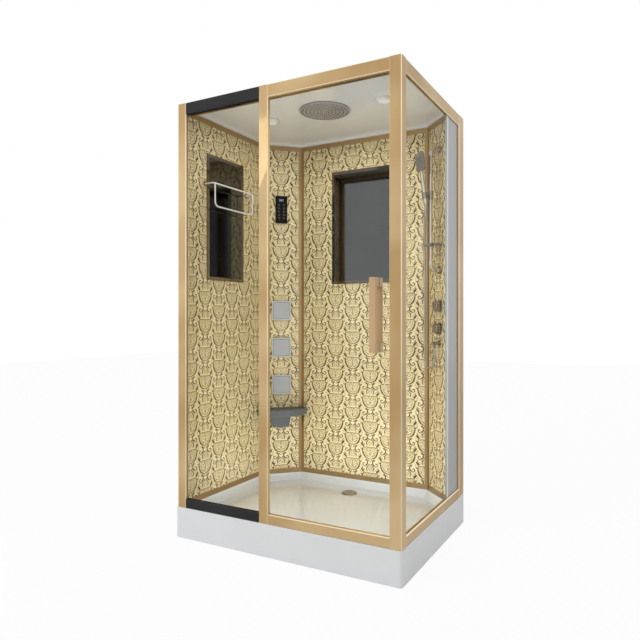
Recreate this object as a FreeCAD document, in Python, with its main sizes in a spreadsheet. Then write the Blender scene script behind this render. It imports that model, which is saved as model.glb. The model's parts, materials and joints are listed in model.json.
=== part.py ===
import FreeCAD, Part
import math
import os
import Sketcher
from FreeCAD import Placement, Rotation, Vector

# Shower cabin: a rectangular tray, a gold frame with a sliding glass door, printed glass
# walls with two slanted service columns at the back, and a closed ceiling.
# X runs along the long front, Y goes back from the door, Z is up, and the origin is the
# middle of the footprint on the floor. All lengths are in millimetres.

# Driving dimensions, one cell each
SIZES = {
    # tray
    "tray_width": 1200, "tray_depth": 900, "tray_height": 150, "tray_corner": 14,
    "tray_skin": 8, "basin_depth": 40, "basin_slope": 24, "basin_margin": 8, "floor_skin": 10,
    "floor_corner": 30,
    # steel base under the tray
    "base_tube_width": 30, "base_tube_height": 20, "base_inset": 60, "base_cross": 260,
    "foot_radius": 25, "foot_pad": 14, "foot_rod": 6, "foot_nut": 10, "foot_nut_height": 9,
    # waste
    "waste_back": 170, "waste_ring": 45, "waste_lip": 3, "waste_throat": 38, "waste_wall": 3,
    "cover_radius": 40, "cover_thick": 4, "cover_plug": 22, "cover_skirt": 16, "trap_radius": 50,
    "trap_floor": 24, "trap_pipe": 16, "trap_reach": 110,
    # frame
    "frame_height": 2000, "frame_inset": 2, "frame_inset_left": 10, "bar_thick": 20,
    "post_width": 52, "corner_width": 54, "corner_depth": 50, "stile_width": 33,
    "rail_top_height": 58, "rail_bottom_height": 46, "post_chamfer": 4, "left_pane_width": 435,
    "glass": 6, "glass_setback": 10, "groove": 10, "fit": 0.3,
    # side
    "side_glass_end": 187, "strip_web": 6, "strip_flange": 2, "strip_width": 20,
    # door
    "door_overlap": 29, "door_setback": 27, "door_closing_gap": 3, "door_travel": 430,
    "door_top_gap": 42, "door_bottom_gap": 14, "track_plate": 10, "track_back": 54,
    "track_web": 3, "track_foot": 16, "track_foot_thick": 4, "track_drop": 52,
    "wheel_radius": 11.7, "wheel_width": 8, "axle_radius": 3, "running": 0.05,
    "carriage_width": 44, "carriage_height": 32, "carriage_thick": 3, "carriage_inset": 100,
    "sill_thick": 8, "sill_lip": 8, "sill_lip_thick": 3, "guide_length": 30, "guide_gap": 4, "guide_height": 24,
    "guide_wall": 5, "clip_width": 8, "clip_wall": 4, "seal_width": 12,
    # handle
    "handle_width": 30, "handle_height": 312, "handle_bar": 12, "handle_block": 38,
    "handle_out": 24, "handle_in": 24, "handle_centre": 1100, "handle_from_post": 57,
    "bolt_radius": 4, "bolt_clear": 0.1,
    # walls
    "wall_inset": 23, "column_leg": 168, "wall_glass": 6, "profile_lip": 3, "profile_back": 20,
    "profile_height": 26, "joint_arm": 18, "ceiling_drop": 22, "end_arm": 31,
    "end_back": 12,
    # ceiling
    "ceiling_skin": 4, "ceiling_rim": 15, "ceiling_cove": 12, "ceiling_port_width": 92,
    "ceiling_port_start": 8, "ceiling_port_depth": 62,
    # rain head and lights
    "head_radius": 130, "head_x": 25, "head_y": -50, "head_thick": 8, "head_nozzle": 2.2,
    "head_nozzle_height": 2.5, "head_ring_step": 19, "head_neck": 14, "head_boss": 32,
    "head_boss_height": 2, "feed_nut": 20,
    "light_pitch": 326, "light_radius": 45, "light_ring": 9, "light_height": 14,
    "lens_radius": 33, "lens_thick": 3, "can_radius": 32,
    # mirrors
    "mirror_thick": 5, "mirror_height": 664, "mirror_bottom": 1288, "mirror_left_width": 316,
    "mirror_left_shift": 14, "mirror_back_width": 390, "mirror_back_shift": 5,
    # control panel
    "panel_width": 72, "panel_height": 166, "panel_bottom": 1659, "panel_case": 9,
    "panel_face": 3, "panel_case_inset": 2, "panel_plug": 20, "panel_plug_depth": 16,
    "service_shift": 9,
    # massage jets
    "jet_size": 117, "jet_rim": 9, "jet_rim_depth": 16, "jet_face_depth": 12, "jet_top": 1133,
    "jet_pitch": 224, "jet_hole": 26, "jet_neck": 25, "jet_tail": 18, "jet_tail_length": 34,
    "jet_nut": 36, "jet_nut_height": 10, "jet_back": 3,
    "manifold_radius": 10, "manifold_tee": 14,
    # corner seat
    "seat_top": 548, "seat_rim": 38, "seat_dish": 8, "seat_rim_width": 10, "seat_half": 150,
    "seat_depth": 146, "seat_wall_half": 86, "seat_ear": 52,
    "bucket_top": 111, "bucket_bottom": 96, "bucket_height": 70, "bucket_depth": 96,
    "bucket_depth_low": 78, "bucket_shift": 15,
    # towel rack
    "rack_front": -275, "rack_length": 355, "rack_reach": 59, "rack_top": 1788,
    "rack_drop": 119, "rack_rod": 4, "rack_bend": 14, "rack_loop_bend": 28, "flange_radius": 13,
    "flange_thick": 6,
    # riser rail
    "rail_shift": 22, "rail_standoff": 52, "rail_radius": 9, "rail_low": 1383,
    "rail_high": 1925, "bracket_radius": 13, "bracket_bend": 34, "bracket_straight": 10,
    "rosette_radius": 21, "rosette_thick": 7,
    "slider_height": 44, "slider_wall": 4, "slider_z": 1726, "pivot_gap": 0.3,
    "pivot_radius": 4.5, "pivot_pin": 2.5, "lug_width": 10, "ear_width": 4,
    "socket_wall": 3.5, "socket_height": 32,
    # hand shower, in its own upright frame
    "grip_radius": 10, "grip_taper": 2, "grip_length": 172, "grip_nut": 10,
    "grip_nut_height": 18, "grip_below": 20, "paddle_width": 84, "paddle_height": 98,
    "paddle_thick": 12, "paddle_corner": 12, "spray_width": 66, "spray_thick": 2.5,
    "spray_nozzle": 1.6, "spray_nozzle_height": 2, "spray_pitch": 11,
    # soap dish
    "dish_z": 1464, "dish_width": 90, "dish_depth": 62, "dish_thick": 3, "dish_rim": 9,
    "dish_behind": 40, "dish_clip": 16, "dish_clip_height": 14,
    # mixer
    "mixer_top": 1150, "mixer_pitch": 117, "mixer_rosette": 33, "mixer_rosette_thick": 5,
    "knob_radius": 27, "knob_length": 26, "knob_gap": 0.6, "knob_neck": 12, "knob_lever": 16,
    "knob_lever_width": 7, "spindle_radius": 6, "spindle_length": 20, "valve_width": 50,
    "valve_depth": 42, "valve_margin": 30, "valve_hole": 18, "valve_neck": 17.5,
    "outlet_height": 954, "outlet_radius": 10, "outlet_tip": 8, "outlet_reach": 33, "outlet_drop": 19,
    "outlet_rosette": 17, "inlet_radius": 10, "inlet_length": 40, "inlet_pitch": 70,
    "inlet_rise": 40, "inlet_shift": 8, "inlet_collar": 14,
    # pipes over the ceiling
    "pipe_radius": 6, "pipe_lift": 8.5, "pipe_bend": 24, "pipe_pitch": 26, "pipe_elbow": 10,
    # hose
    "hose_radius": 6, "hose_wall": 1.5,
    # screws
    "screw_head": 4, "screw_head_height": 2.4, "screw_count": 5,
}

# Plain ratios, not lengths
HALF = 0.5
ROOT2 = math.sqrt(2)
SLANT = math.sqrt(0.5)
CORNER_SHARE = math.sqrt(2) - 1
ELBOW_SHARE = 1.3
MANIFOLD_END_SHARE = 1.6
TILT_DEG = 8.0

doc = FreeCAD.newDocument("ShowerCabin")
sheet = doc.addObject("Spreadsheet::Sheet", "Sizes")
for row, (alias, number) in enumerate(SIZES.items(), start=1):
    sheet.set("A%d" % row, alias)
    sheet.set("B%d" % row, repr(number))
    sheet.setAlias("B%d" % row, alias)
doc.recompute()


class Length:
    """A length: its value in millimetres and the sheet formula that gives it."""

    def __init__(self, value, formula):
        self.value = value
        self.formula = formula

    def __add__(self, other):
        other = as_length(other)
        return Length(self.value + other.value, "(%s + %s)" % (self.formula, other.formula))

    def __radd__(self, other):
        return as_length(other) + self

    def __sub__(self, other):
        other = as_length(other)
        return Length(self.value - other.value, "(%s - %s)" % (self.formula, other.formula))

    def __rsub__(self, other):
        return as_length(other) - self

    def __mul__(self, ratio):
        return Length(self.value * ratio, "(%s * %r)" % (self.formula, float(ratio)))

    __rmul__ = __mul__

    def __truediv__(self, ratio):
        return Length(self.value / ratio, "(%s / %r)" % (self.formula, float(ratio)))

    def __neg__(self):
        return Length(-self.value, "(0 - %s)" % self.formula)


def as_length(item):
    if isinstance(item, Length):
        return item
    return Length(float(item), repr(float(item)))


class Sheet:
    """Gives each cell of the sheet by its alias."""

    def __getattr__(self, alias):
        return Length(float(sheet.get(alias)), "Sizes." + alias)


s = Sheet()
ZERO = as_length(0)


def bind(thing, name, length):
    thing.setExpression(name, as_length(length).formula)


class Frame:
    """An upright frame: +U along a wall to the right, +V away behind it, Z up."""

    def __init__(self, x, y, degrees):
        self.x, self.y, self.degrees = as_length(x), as_length(y), degrees
        self.cos = math.cos(math.radians(degrees))
        self.sin = math.sin(math.radians(degrees))

    def point(self, u, v):
        u, v = as_length(u), as_length(v)
        return self.x + u * self.cos - v * self.sin, self.y + u * self.sin + v * self.cos


WORLD = Frame(0, 0, 0)
UPRIGHT = Rotation()
ALONG_U = Rotation(Vector(1, 1, 1), 120)
ALONG_V = Rotation(Vector(1, 1, 1), 240)
BACKWARD = Rotation(Vector(1, 0, 0), -90)
FORWARD = Rotation(Vector(1, 0, 0), 90)
SIDEWAYS = Rotation(Vector(0, 1, 0), 90)

nodes = {}


def keep(label, thing):
    """Names a finished sub-part."""
    thing.Label = label
    nodes[label] = thing
    return thing


def place(thing, frame, u, v, z, turn=UPRIGHT):
    x, y = frame.point(u, v)
    spin = Rotation(Vector(0, 0, 1), frame.degrees)
    z = as_length(z)
    thing.Placement = Placement(Vector(x.value, y.value, z.value), spin.multiply(turn))
    bind(thing, "Placement.Base.x", x)
    bind(thing, "Placement.Base.y", y)
    bind(thing, "Placement.Base.z", z)
    return thing


def box(frame, u, v, z, wide, deep, tall):
    """A box from the corner (u, v, z)."""
    thing = doc.addObject("Part::Box", "Box")
    bind(thing, "Length", wide)
    bind(thing, "Width", deep)
    bind(thing, "Height", tall)
    return place(thing, frame, u, v, z)


def round_bar(frame, u, v, z, radius, length, turn=UPRIGHT):
    """A cylinder from (u, v, z) along the turned Z."""
    thing = doc.addObject("Part::Cylinder", "Round")
    bind(thing, "Radius", radius)
    bind(thing, "Height", length)
    return place(thing, frame, u, v, z, turn)


def cut(base, *tools):
    for tool in tools:
        thing = doc.addObject("Part::Cut", "Cut")
        thing.Base = base
        thing.Tool = tool
        base = thing
    return base


def fuse(*pieces):
    thing = doc.addObject("Part::MultiFuse", "Fuse")
    thing.Shapes = list(pieces)
    thing.Refine = True
    return thing


def common(one, two):
    thing = doc.addObject("Part::Common", "Common")
    thing.Base = one
    thing.Tool = two
    return thing


def group(*pieces):
    """Several equal solids kept together."""
    thing = doc.addObject("Part::Compound", "Group")
    thing.Links = list(pieces)
    return thing


def origin_plane(body, role):
    return [item for item in body.Origin.OriginFeatures if item.Role == role][0]


def new_body():
    return doc.addObject("PartDesign::Body", "Piece")


def new_sketch(body, role="XY_Plane", lift=None):
    sketch = body.newObject("Sketcher::SketchObject", "Outline")
    sketch.AttachmentSupport = [(origin_plane(body, role), "")]
    sketch.MapMode = "FlatFace"
    if lift is not None:
        bind(sketch, "AttachmentOffset.Base.z", lift)
    return sketch


def pin_point(sketch, item, end, x, y):
    """Holds one end of a line at (x, y) from the origin."""
    for kind, length in (("DistanceX", as_length(x)), ("DistanceY", as_length(y))):
        rule = Sketcher.Constraint(kind, -1, 1, item, end, length.value)
        bind(sketch, "Constraints[%d]" % sketch.addConstraint(rule), length)


def outline(sketch, points):
    """A closed outline of straight lines through the points."""
    first = sketch.GeometryCount
    count = len(points)
    spots = [Vector(as_length(x).value, as_length(y).value, 0) for x, y in points]
    for i in range(count):
        sketch.addGeometry(Part.LineSegment(spots[i], spots[(i + 1) % count]), False)
    for i in range(count):
        after = first + (i + 1) % count
        sketch.addConstraint(Sketcher.Constraint("Coincident", first + i, 2, after, 1))
    for i, (x, y) in enumerate(points):
        pin_point(sketch, first + i, 1, x, y)


def circle(sketch, x, y, radius):
    x, y, radius = as_length(x), as_length(y), as_length(radius)
    centre = Vector(x.value, y.value, 0)
    item = sketch.addGeometry(Part.Circle(centre, Vector(0, 0, 1), radius.value), False)
    rule = Sketcher.Constraint("Radius", item, radius.value)
    bind(sketch, "Constraints[%d]" % sketch.addConstraint(rule), radius)
    pin_point(sketch, item, 3, x, y)


def pad(body, sketch, length):
    thing = body.newObject("PartDesign::Pad", "Pad")
    thing.Profile = sketch
    bind(thing, "Length", length)
    return thing


def pocket(body, sketch, depth, up=False):
    """Cuts a sketch into the body, upward or downward."""
    thing = body.newObject("PartDesign::Pocket", "Pocket")
    thing.Profile = sketch
    thing.Reversed = up
    bind(thing, "Length", depth)
    return thing


def bar(frame, u, v, z, section, length, turn=UPRIGHT, holes=()):
    """A straight extrusion of a closed section, with round holes where asked."""
    body = new_body()
    sketch = new_sketch(body)
    outline(sketch, section)
    for x, y, radius in holes:
        circle(sketch, x, y, radius)
    pad(body, sketch, length)
    return place(body, frame, u, v, z, turn)


def turned(frame, u, v, z, section, turn=UPRIGHT):
    """A solid of revolution: the section gives radius and height."""
    body = new_body()
    sketch = new_sketch(body, "XZ_Plane")
    outline(sketch, section)
    thing = body.newObject("PartDesign::Revolution", "Turned")
    thing.Profile = sketch
    thing.ReferenceAxis = (sketch, ["V_Axis"])
    thing.Angle = 360
    return place(body, frame, u, v, z, turn)


def rectangle(x, y, wide, tall):
    return [(x, y), (x + wide, y), (x + wide, y + tall), (x, y + tall)]


# Places that several pieces share
tray_top = s.tray_height
top = s.tray_height + s.frame_height
left_face = s.frame_inset_left - s.tray_width / 2
right_face = s.tray_width / 2 - s.frame_inset
front_face = s.frame_inset - s.tray_depth / 2
back_face = s.tray_depth / 2 - s.frame_inset
waste_y = s.tray_depth / 2 - s.waste_back
bar_back = front_face + s.bar_thick
post_top = s.frame_height
mid_left = left_face + s.post_width + s.left_pane_width
mid_right = mid_left + s.post_width
door_post = right_face - s.corner_width
side_front = front_face + s.corner_depth
back_post = back_face - s.corner_depth
stile = back_post - s.stile_width
rail_low_top = tray_top + s.rail_bottom_height
rail_high_low = top - s.rail_top_height

wall_left = left_face + s.wall_inset
wall_right = right_face - s.wall_inset
wall_back = back_face - s.wall_inset
column_y = wall_back - s.column_leg
wall_height = s.frame_height - s.ceiling_drop
wall_top = tray_top + wall_height
column_width = s.column_leg * ROOT2

left_length = column_y - bar_back
back_length = wall_right - wall_left - s.column_leg * 2

left_wall = Frame(wall_left, bar_back + left_length / 2, 90)
left_column = Frame(wall_left + s.column_leg / 2, wall_back - s.column_leg / 2, 45)
back_wall = Frame((wall_left + wall_right) / 2, wall_back, 0)
right_column = Frame(wall_right - s.column_leg / 2, wall_back - s.column_leg / 2, -45)


# Tray: a moulded shell with a sunk floor, the back corners cut off like the walls above
def basin(margin):
    x0 = wall_left + margin
    x1 = wall_right - margin
    y0 = front_face + s.track_back + margin
    y1 = wall_back - margin
    slip = margin * CORNER_SHARE
    return [(x0, y0), (x1, y0), (x1, column_y - slip), (wall_right - s.column_leg - slip, y1),
            (wall_left + s.column_leg + slip, y1), (x0, column_y - slip)]


def make_tray():
    body = new_body()
    floor = tray_top - s.basin_depth
    half_w, half_d = s.tray_width / 2, s.tray_depth / 2
    block = new_sketch(body)
    outline(block, rectangle(-half_w, -half_d, s.tray_width, s.tray_depth))
    solid = pad(body, block, s.tray_height)
    doc.recompute()
    edges = [i for i, edge in enumerate(solid.Shape.Edges, start=1)
             if abs(edge.Vertexes[0].Z - edge.Vertexes[1].Z) > s.basin_depth.value]
    rounded = body.newObject("PartDesign::Fillet", "Corners")
    rounded.Base = (solid, ["Edge%d" % i for i in edges])
    bind(rounded, "Radius", s.tray_corner)
    doc.recompute()
    upper = new_sketch(body, "XY_Plane", tray_top)
    outline(upper, basin(s.basin_margin))
    lower = new_sketch(body, "XY_Plane", floor)
    outline(lower, basin(s.basin_margin + s.basin_slope))
    bowl = body.newObject("PartDesign::SubtractiveLoft", "Basin")
    bowl.Profile = upper
    bowl.Sections = [lower]
    bowl.Ruled = True
    under = new_sketch(body)
    skin = s.tray_skin
    outline(under, rectangle(skin - half_w, skin - half_d, s.tray_width - skin * 2,
                             s.tray_depth - skin * 2))
    pocket(body, under, floor - s.floor_skin, up=True)
    ring = new_sketch(body)
    outline(ring, rectangle(skin - half_w, skin - half_d, s.tray_width - skin * 2,
                            s.tray_depth - skin * 2))
    outline(ring, basin(s.basin_margin - skin))
    pocket(body, ring, tray_top - skin, up=True)
    drain = new_sketch(body)
    circle(drain, 0, waste_y, s.waste_throat + s.fit)
    pocket(body, drain, tray_top, up=True)
    return keep("shower_tray", place(body, WORLD, 0, 0, 0))


def make_base():
    """Welded square tubes under the tray floor, on screw feet with lock nuts."""
    high = tray_top - s.basin_depth - s.floor_skin
    low = high - s.base_tube_height
    wide = s.tray_width - s.base_inset * 2
    deep = s.tray_depth - s.base_inset * 2
    tube = s.base_tube_width
    x0, y0 = -wide / 2, -deep / 2
    ring = cut(box(WORLD, x0, y0, low, wide, deep, s.base_tube_height),
               box(WORLD, x0 + tube, y0 + tube, low, wide - tube * 2, deep - tube * 2,
                   s.base_tube_height))
    across = [box(WORLD, x - tube / 2, y0 + tube, low, tube, deep - tube * 2, s.base_tube_height)
              for x in (-s.base_cross, s.base_cross)]
    keep("base_frame", fuse(ring, *across))
    feet = []
    corner_x, corner_y = wide / 2 - tube / 2, deep / 2 - tube / 2
    spots = [(-corner_x, -corner_y), (corner_x, -corner_y), (corner_x, corner_y),
             (-corner_x, corner_y), (-s.base_cross, ZERO), (s.base_cross, ZERO)]
    for x, y in spots:
        feet.append(fuse(round_bar(WORLD, x, y, 0, s.foot_radius, s.foot_pad),
                         round_bar(WORLD, x, y, 0, s.foot_rod, low),
                         round_bar(WORLD, x, y, low - s.foot_nut_height, s.foot_nut,
                                   s.foot_nut_height)))
    keep("levelling_feet", group(*feet))


def make_waste():
    floor = tray_top - s.basin_depth
    ring, throat, wall = s.waste_ring, s.waste_throat, s.waste_wall
    bottom = floor - s.floor_skin - s.cover_plug
    flange = [(throat - wall, bottom), (throat, bottom), (throat, floor), (ring, floor),
              (ring, floor + s.waste_lip / 3), (ring - wall, floor + s.waste_lip),
              (throat, floor + s.waste_lip), (throat - wall, floor)]
    keep("waste_flange", turned(WORLD, 0, waste_y, 0, flange))
    seat = floor + s.waste_lip + s.fit
    skirt = s.cover_skirt
    bore = throat - wall - s.fit
    cover = [(0, seat), (bore - s.waste_wall * 2, seat), (bore - s.waste_wall * 2, seat - skirt),
             (bore - s.waste_wall, seat - skirt), (bore - s.waste_wall, seat),
             (s.cover_radius, seat), (s.cover_radius, seat + s.cover_thick / 2),
             (s.cover_radius - s.waste_wall, seat + s.cover_thick), (0, seat + s.cover_thick)]
    keep("drain_cover", turned(WORLD, 0, waste_y, 0, cover))
    trap, low = s.trap_radius, s.trap_floor
    high = floor - s.floor_skin
    cup = [(0, low), (trap, low), (trap, high), (throat + s.fit, high),
           (throat + s.fit, high - wall), (trap - wall, high - wall), (trap - wall, low + wall),
           (0, low + wall)]
    pipe_z = (low + high) / 2
    shell = turned(WORLD, 0, waste_y, 0, cup)
    start = waste_y + trap - wall * 2
    pipe = cut(round_bar(WORLD, 0, start, pipe_z, s.trap_pipe, s.trap_reach, BACKWARD),
               round_bar(WORLD, 0, start, pipe_z, s.trap_pipe - wall, s.trap_reach, BACKWARD))
    inside = round_bar(WORLD, 0, waste_y, low + wall, trap - wall,
                       high - low - wall * 2)
    drilled = cut(shell, round_bar(WORLD, 0, start, pipe_z, s.trap_pipe - wall, wall * 3,
                                   BACKWARD))
    keep("drain_trap", fuse(drilled, cut(pipe, inside)))


# Frame: every bar is a section drawn flat and run along its length
def make_front_frame():
    w, d, c = s.post_width, s.bar_thick, s.post_chamfer
    gap = s.glass + s.fit * 2
    slot = s.glass_setback - s.fit
    right_slot = [(c, 0), (w - c, 0), (w, c), (w, slot), (w - s.groove, slot),
                  (w - s.groove, slot + gap), (w, slot + gap), (w, d), (0, d), (0, c)]
    left_slot = [(c, 0), (w - c, 0), (w, c), (w, d), (0, d), (0, slot + gap),
                 (s.groove, slot + gap), (s.groove, slot), (0, slot), (0, c)]
    keep("post_left", bar(WORLD, left_face, front_face, tray_top, right_slot, post_top))
    keep("post_middle", bar(WORLD, mid_left, front_face, tray_top, left_slot, post_top))
    w, d = s.corner_width, s.corner_depth
    x_slot = w - s.glass_setback - s.glass - s.fit
    corner = [(0, 0), (w - c, 0), (w, c), (w, d), (x_slot + gap, d), (x_slot + gap, d - s.groove),
              (x_slot, d - s.groove), (x_slot, d), (0, d)]
    keep("post_corner", bar(WORLD, door_post, front_face, tray_top, corner, post_top))
    d = s.corner_depth
    square = [(0, 0), (w, 0), (w, d - c), (w - c, d), (0, d)]
    keep("post_back", bar(WORLD, door_post, back_post, tray_top, square, post_top))


def rail_section(height, slotted, slot_up, flip=False):
    """Section of a rail, first axis across its thickness, second axis up."""
    d, c, groove = s.bar_thick, s.post_chamfer, s.groove
    near = s.glass_setback - s.fit
    far = near + s.glass + s.fit * 2
    if not slotted:
        section = [(0, c), (c, 0), (d, 0), (d, height), (c, height), (0, height - c)]
    elif slot_up:
        section = [(0, c), (c, 0), (d, 0), (d, height), (far, height), (far, height - groove),
                   (near, height - groove), (near, height), (c, height), (0, height - c)]
    else:
        section = [(0, c), (c, 0), (near, 0), (near, groove), (far, groove), (far, 0), (d, 0),
                   (d, height), (c, height), (0, height - c)]
    if flip:
        section = [(d - x, y) for x, y in section]
    return section


def make_rails():
    pane_left = left_face + s.post_width
    door_span = door_post - mid_right
    low, high = s.rail_bottom_height, s.rail_top_height
    keep("rails_left", group(
        bar(WORLD, pane_left, front_face, rail_high_low, rail_section(high, True, False),
            s.left_pane_width, ALONG_U),
        bar(WORLD, pane_left, front_face, tray_top, rail_section(low, True, True),
            s.left_pane_width, ALONG_U)))
    inner = right_face - s.bar_thick
    run = stile - side_front

    def along_side(section):
        # the turned section has its second axis along X and its first axis up
        return [(y, x) for x, y in section]

    d, c = s.bar_thick, s.post_chamfer
    near = s.glass_setback - s.fit
    far = near + s.glass + s.fit * 2
    stile_section = [(0, 0), (d - far, 0), (d - far, s.groove), (d - near, s.groove),
                     (d - near, 0), (d - c, 0), (d, c), (d, s.stile_width), (0, s.stile_width)]
    keep("rails_gold", group(
        bar(WORLD, mid_right, front_face, rail_high_low, rail_section(high, False, False),
            door_span, ALONG_U),
        bar(WORLD, mid_right, front_face, tray_top, rail_section(low, False, True),
            door_span, ALONG_U),
        bar(WORLD, inner, side_front, rail_high_low,
            along_side(rail_section(high, True, False, True)), run, ALONG_V),
        bar(WORLD, inner, side_front, tray_top,
            along_side(rail_section(low, True, True, True)), run, ALONG_V),
        bar(WORLD, inner, stile, tray_top, stile_section, post_top)))


def make_fixed_glass():
    reach = s.groove - s.fit
    low = rail_low_top - reach
    tall = rail_high_low - rail_low_top + reach * 2
    keep("glass_left", box(WORLD, left_face + s.post_width - reach, front_face + s.glass_setback,
                           low, s.left_pane_width + reach * 2, s.glass, tall))
    x = right_face - s.glass_setback - s.glass
    y0 = side_front - reach
    keep("glass_side", box(WORLD, x, y0, low, s.glass, s.side_glass_end - s.fit - y0, tall))
    start = s.side_glass_end + s.strip_web + s.fit
    keep("closing_panel", box(WORLD, x, start, low, s.glass, stile + reach - start, tall))
    # the clear strip between glass and panel has an H section
    f, w, web = s.strip_flange, s.strip_width, s.strip_web
    mid0 = (w - web) / 2
    mid1 = (w + web) / 2
    inside = s.glass + s.fit * 2
    wide = inside + f * 2
    strip = [(0, 0), (f, 0), (f, mid0), (f + inside, mid0), (f + inside, 0), (wide, 0),
             (wide, w), (f + inside, w), (f + inside, mid1), (f, mid1), (f, w), (0, w)]
    keep("joint_strip", bar(WORLD, x - s.fit - f, s.side_glass_end - mid0, rail_low_top, strip,
                            rail_high_low - rail_low_top))


# Sliding door: glass, rollers in a track behind the top rail, guide on the sill
def make_track():
    depth = s.track_back - s.bar_thick
    foot = top - s.track_drop
    run_x = wall_left + s.joint_arm
    run = door_post - run_x
    plate_low = foot + s.track_drop - s.track_plate
    web_front = bar_back + depth - s.track_web
    # three flat bars screwed together: hanging plate, upright web and running rail
    keep("door_track", group(
        box(WORLD, run_x, bar_back, plate_low, run, depth, s.track_plate),
        box(WORLD, run_x, web_front, foot, run, s.track_web, plate_low - foot),
        box(WORLD, run_x, bar_back + depth - s.track_foot, foot, run,
            s.track_foot - s.track_web, s.track_foot_thick)))
    lip = [(0, 0), (depth, 0), (depth, s.sill_thick + s.sill_lip),
           (depth - s.sill_lip_thick, s.sill_thick + s.sill_lip),
           (depth - s.sill_lip_thick, s.sill_thick), (0, s.sill_thick)]
    keep("door_sill", bar(WORLD, run_x, bar_back, tray_top, lip, run, ALONG_U))


def make_door():
    y = front_face + s.door_setback
    x0 = mid_right - s.door_overlap
    x1 = door_post - s.door_closing_gap - s.fit * 2
    z0 = tray_top + s.door_bottom_gap
    z1 = top - s.door_top_gap
    handle_x = door_post - s.handle_from_post - s.handle_width
    handle_z = s.handle_centre - s.handle_height / 2
    bolt_low = handle_z + s.handle_block / 2
    bolt_high = handle_z + s.handle_height - s.handle_block / 2
    bolt_x = handle_x + s.handle_width / 2
    pane = box(WORLD, x0, y, z0, x1 - x0, s.glass, z1 - z0)
    holes = [round_bar(WORLD, bolt_x, y - s.glass, z, s.bolt_radius, s.glass * 3, BACKWARD)
             for z in (bolt_low, bolt_high)]
    keep("door_glass", cut(pane, *holes))
    keep("handle_bolts", group(*[round_bar(WORLD, bolt_x, y, z, s.bolt_radius - s.bolt_clear,
                                           s.glass, BACKWARD) for z in (bolt_low, bolt_high)]))
    handles = []
    for outside, depth in ((True, s.handle_out), (False, s.handle_in)):
        deep = depth + s.handle_bar
        near, far = s.handle_block, s.handle_height - s.handle_block
        shape = [(0, 0), (deep, 0), (deep, near), (s.handle_bar, near), (s.handle_bar, far),
                 (deep, far), (deep, s.handle_height), (0, s.handle_height)]
        start = y - deep
        if not outside:
            shape = [(deep - a, b) for a, b in shape]
            start = y + s.glass
        handles.append(bar(WORLD, handle_x, start, handle_z, shape, s.handle_width, ALONG_U))
    keep("door_handles", group(*handles))
    # two hung carriages, each with its wheel on the track foot
    wheel_z = top - s.track_drop + s.track_foot_thick + s.fit + s.wheel_radius
    plate_y = y + s.glass
    carriages = []
    spots = (x0 + s.carriage_inset, x1 - s.carriage_inset)
    for number, x in enumerate(spots, start=1):
        low = wheel_z + s.wheel_radius - s.carriage_height
        plate = box(WORLD, x - s.carriage_width / 2, plate_y, low, s.carriage_width,
                    s.carriage_thick, s.carriage_height)
        axle = round_bar(WORLD, x, plate_y, wheel_z, s.axle_radius,
                         s.carriage_thick + s.fit * 2 + s.wheel_width, BACKWARD)
        carriages.append(fuse(plate, axle))
        bore = s.axle_radius + s.running
        rim = s.wheel_radius
        tyre = [(bore, 0), (rim, 0), (rim - s.fit * 2, s.wheel_width / 2), (rim, s.wheel_width),
                (bore, s.wheel_width)]
        keep("wheel_%d" % number, turned(WORLD, x, plate_y + s.carriage_thick + s.fit, wheel_z,
                                         tyre, BACKWARD))
    keep("carriages", group(*carriages))
    # a U clip down the free edge and a soft strip on the corner post
    clip_y = y - s.fit - s.clip_wall / 2
    clip_deep = s.glass + s.fit * 2 + s.clip_wall
    wall = s.clip_wall / 2
    reach = s.clip_width
    clip = [(0, 0), (reach, 0), (reach, wall), (wall, wall), (wall, clip_deep - wall),
            (reach, clip_deep - wall), (reach, clip_deep), (0, clip_deep)]
    keep("door_edge_seal", bar(WORLD, x0 - wall - s.fit, clip_y, z0, clip,
                               top - s.track_drop - s.fit * 2 - z0))
    keep("closing_seal", box(WORLD, door_post - s.door_closing_gap,
                             y + s.glass / 2 - s.seal_width / 2, tray_top + s.sill_thick,
                             s.door_closing_gap, s.seal_width,
                             rail_high_low - tray_top - s.sill_thick))
    # the guide on the sill lets the glass slide between two cheeks
    cheek = s.guide_wall
    wide = s.glass + cheek * 2 + s.fit * 4
    height = s.guide_height
    slit = s.glass + s.fit * 4
    bed = s.door_bottom_gap - s.sill_thick - s.fit * 2
    guide = [(0, 0), (wide, 0), (wide, height), (cheek + slit, height), (cheek + slit, bed),
             (cheek, bed), (cheek, height), (0, height)]
    keep("door_guide", bar(WORLD, x0 + reach + s.guide_gap, y - cheek - s.fit * 2,
                           tray_top + s.sill_thick, guide, s.guide_length, ALONG_U))


# Walls: printed glass panels held by channels below and above and by corner profiles
def arms(frame, length, at_end, arm):
    """One arm of a corner profile and the groove in it, at one end of a wall."""
    lip, back = s.profile_lip, s.profile_back
    past = back * math.tan(math.radians(22.5))
    tall = wall_height
    slot_z = s.wall_glass + s.fit * 2
    if at_end:
        solid = box(frame, length / 2 - arm, -lip, tray_top, arm + past, lip + back, tall)
        slot = box(frame, length / 2 - arm - s.groove, -s.fit, tray_top, s.groove * 2, slot_z, tall)
    else:
        solid = box(frame, -length / 2 - past, -lip, tray_top, arm + past, lip + back, tall)
        slot = box(frame, arm - length / 2 - s.groove, -s.fit, tray_top, s.groove * 2, slot_z, tall)
    return solid, slot


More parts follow.
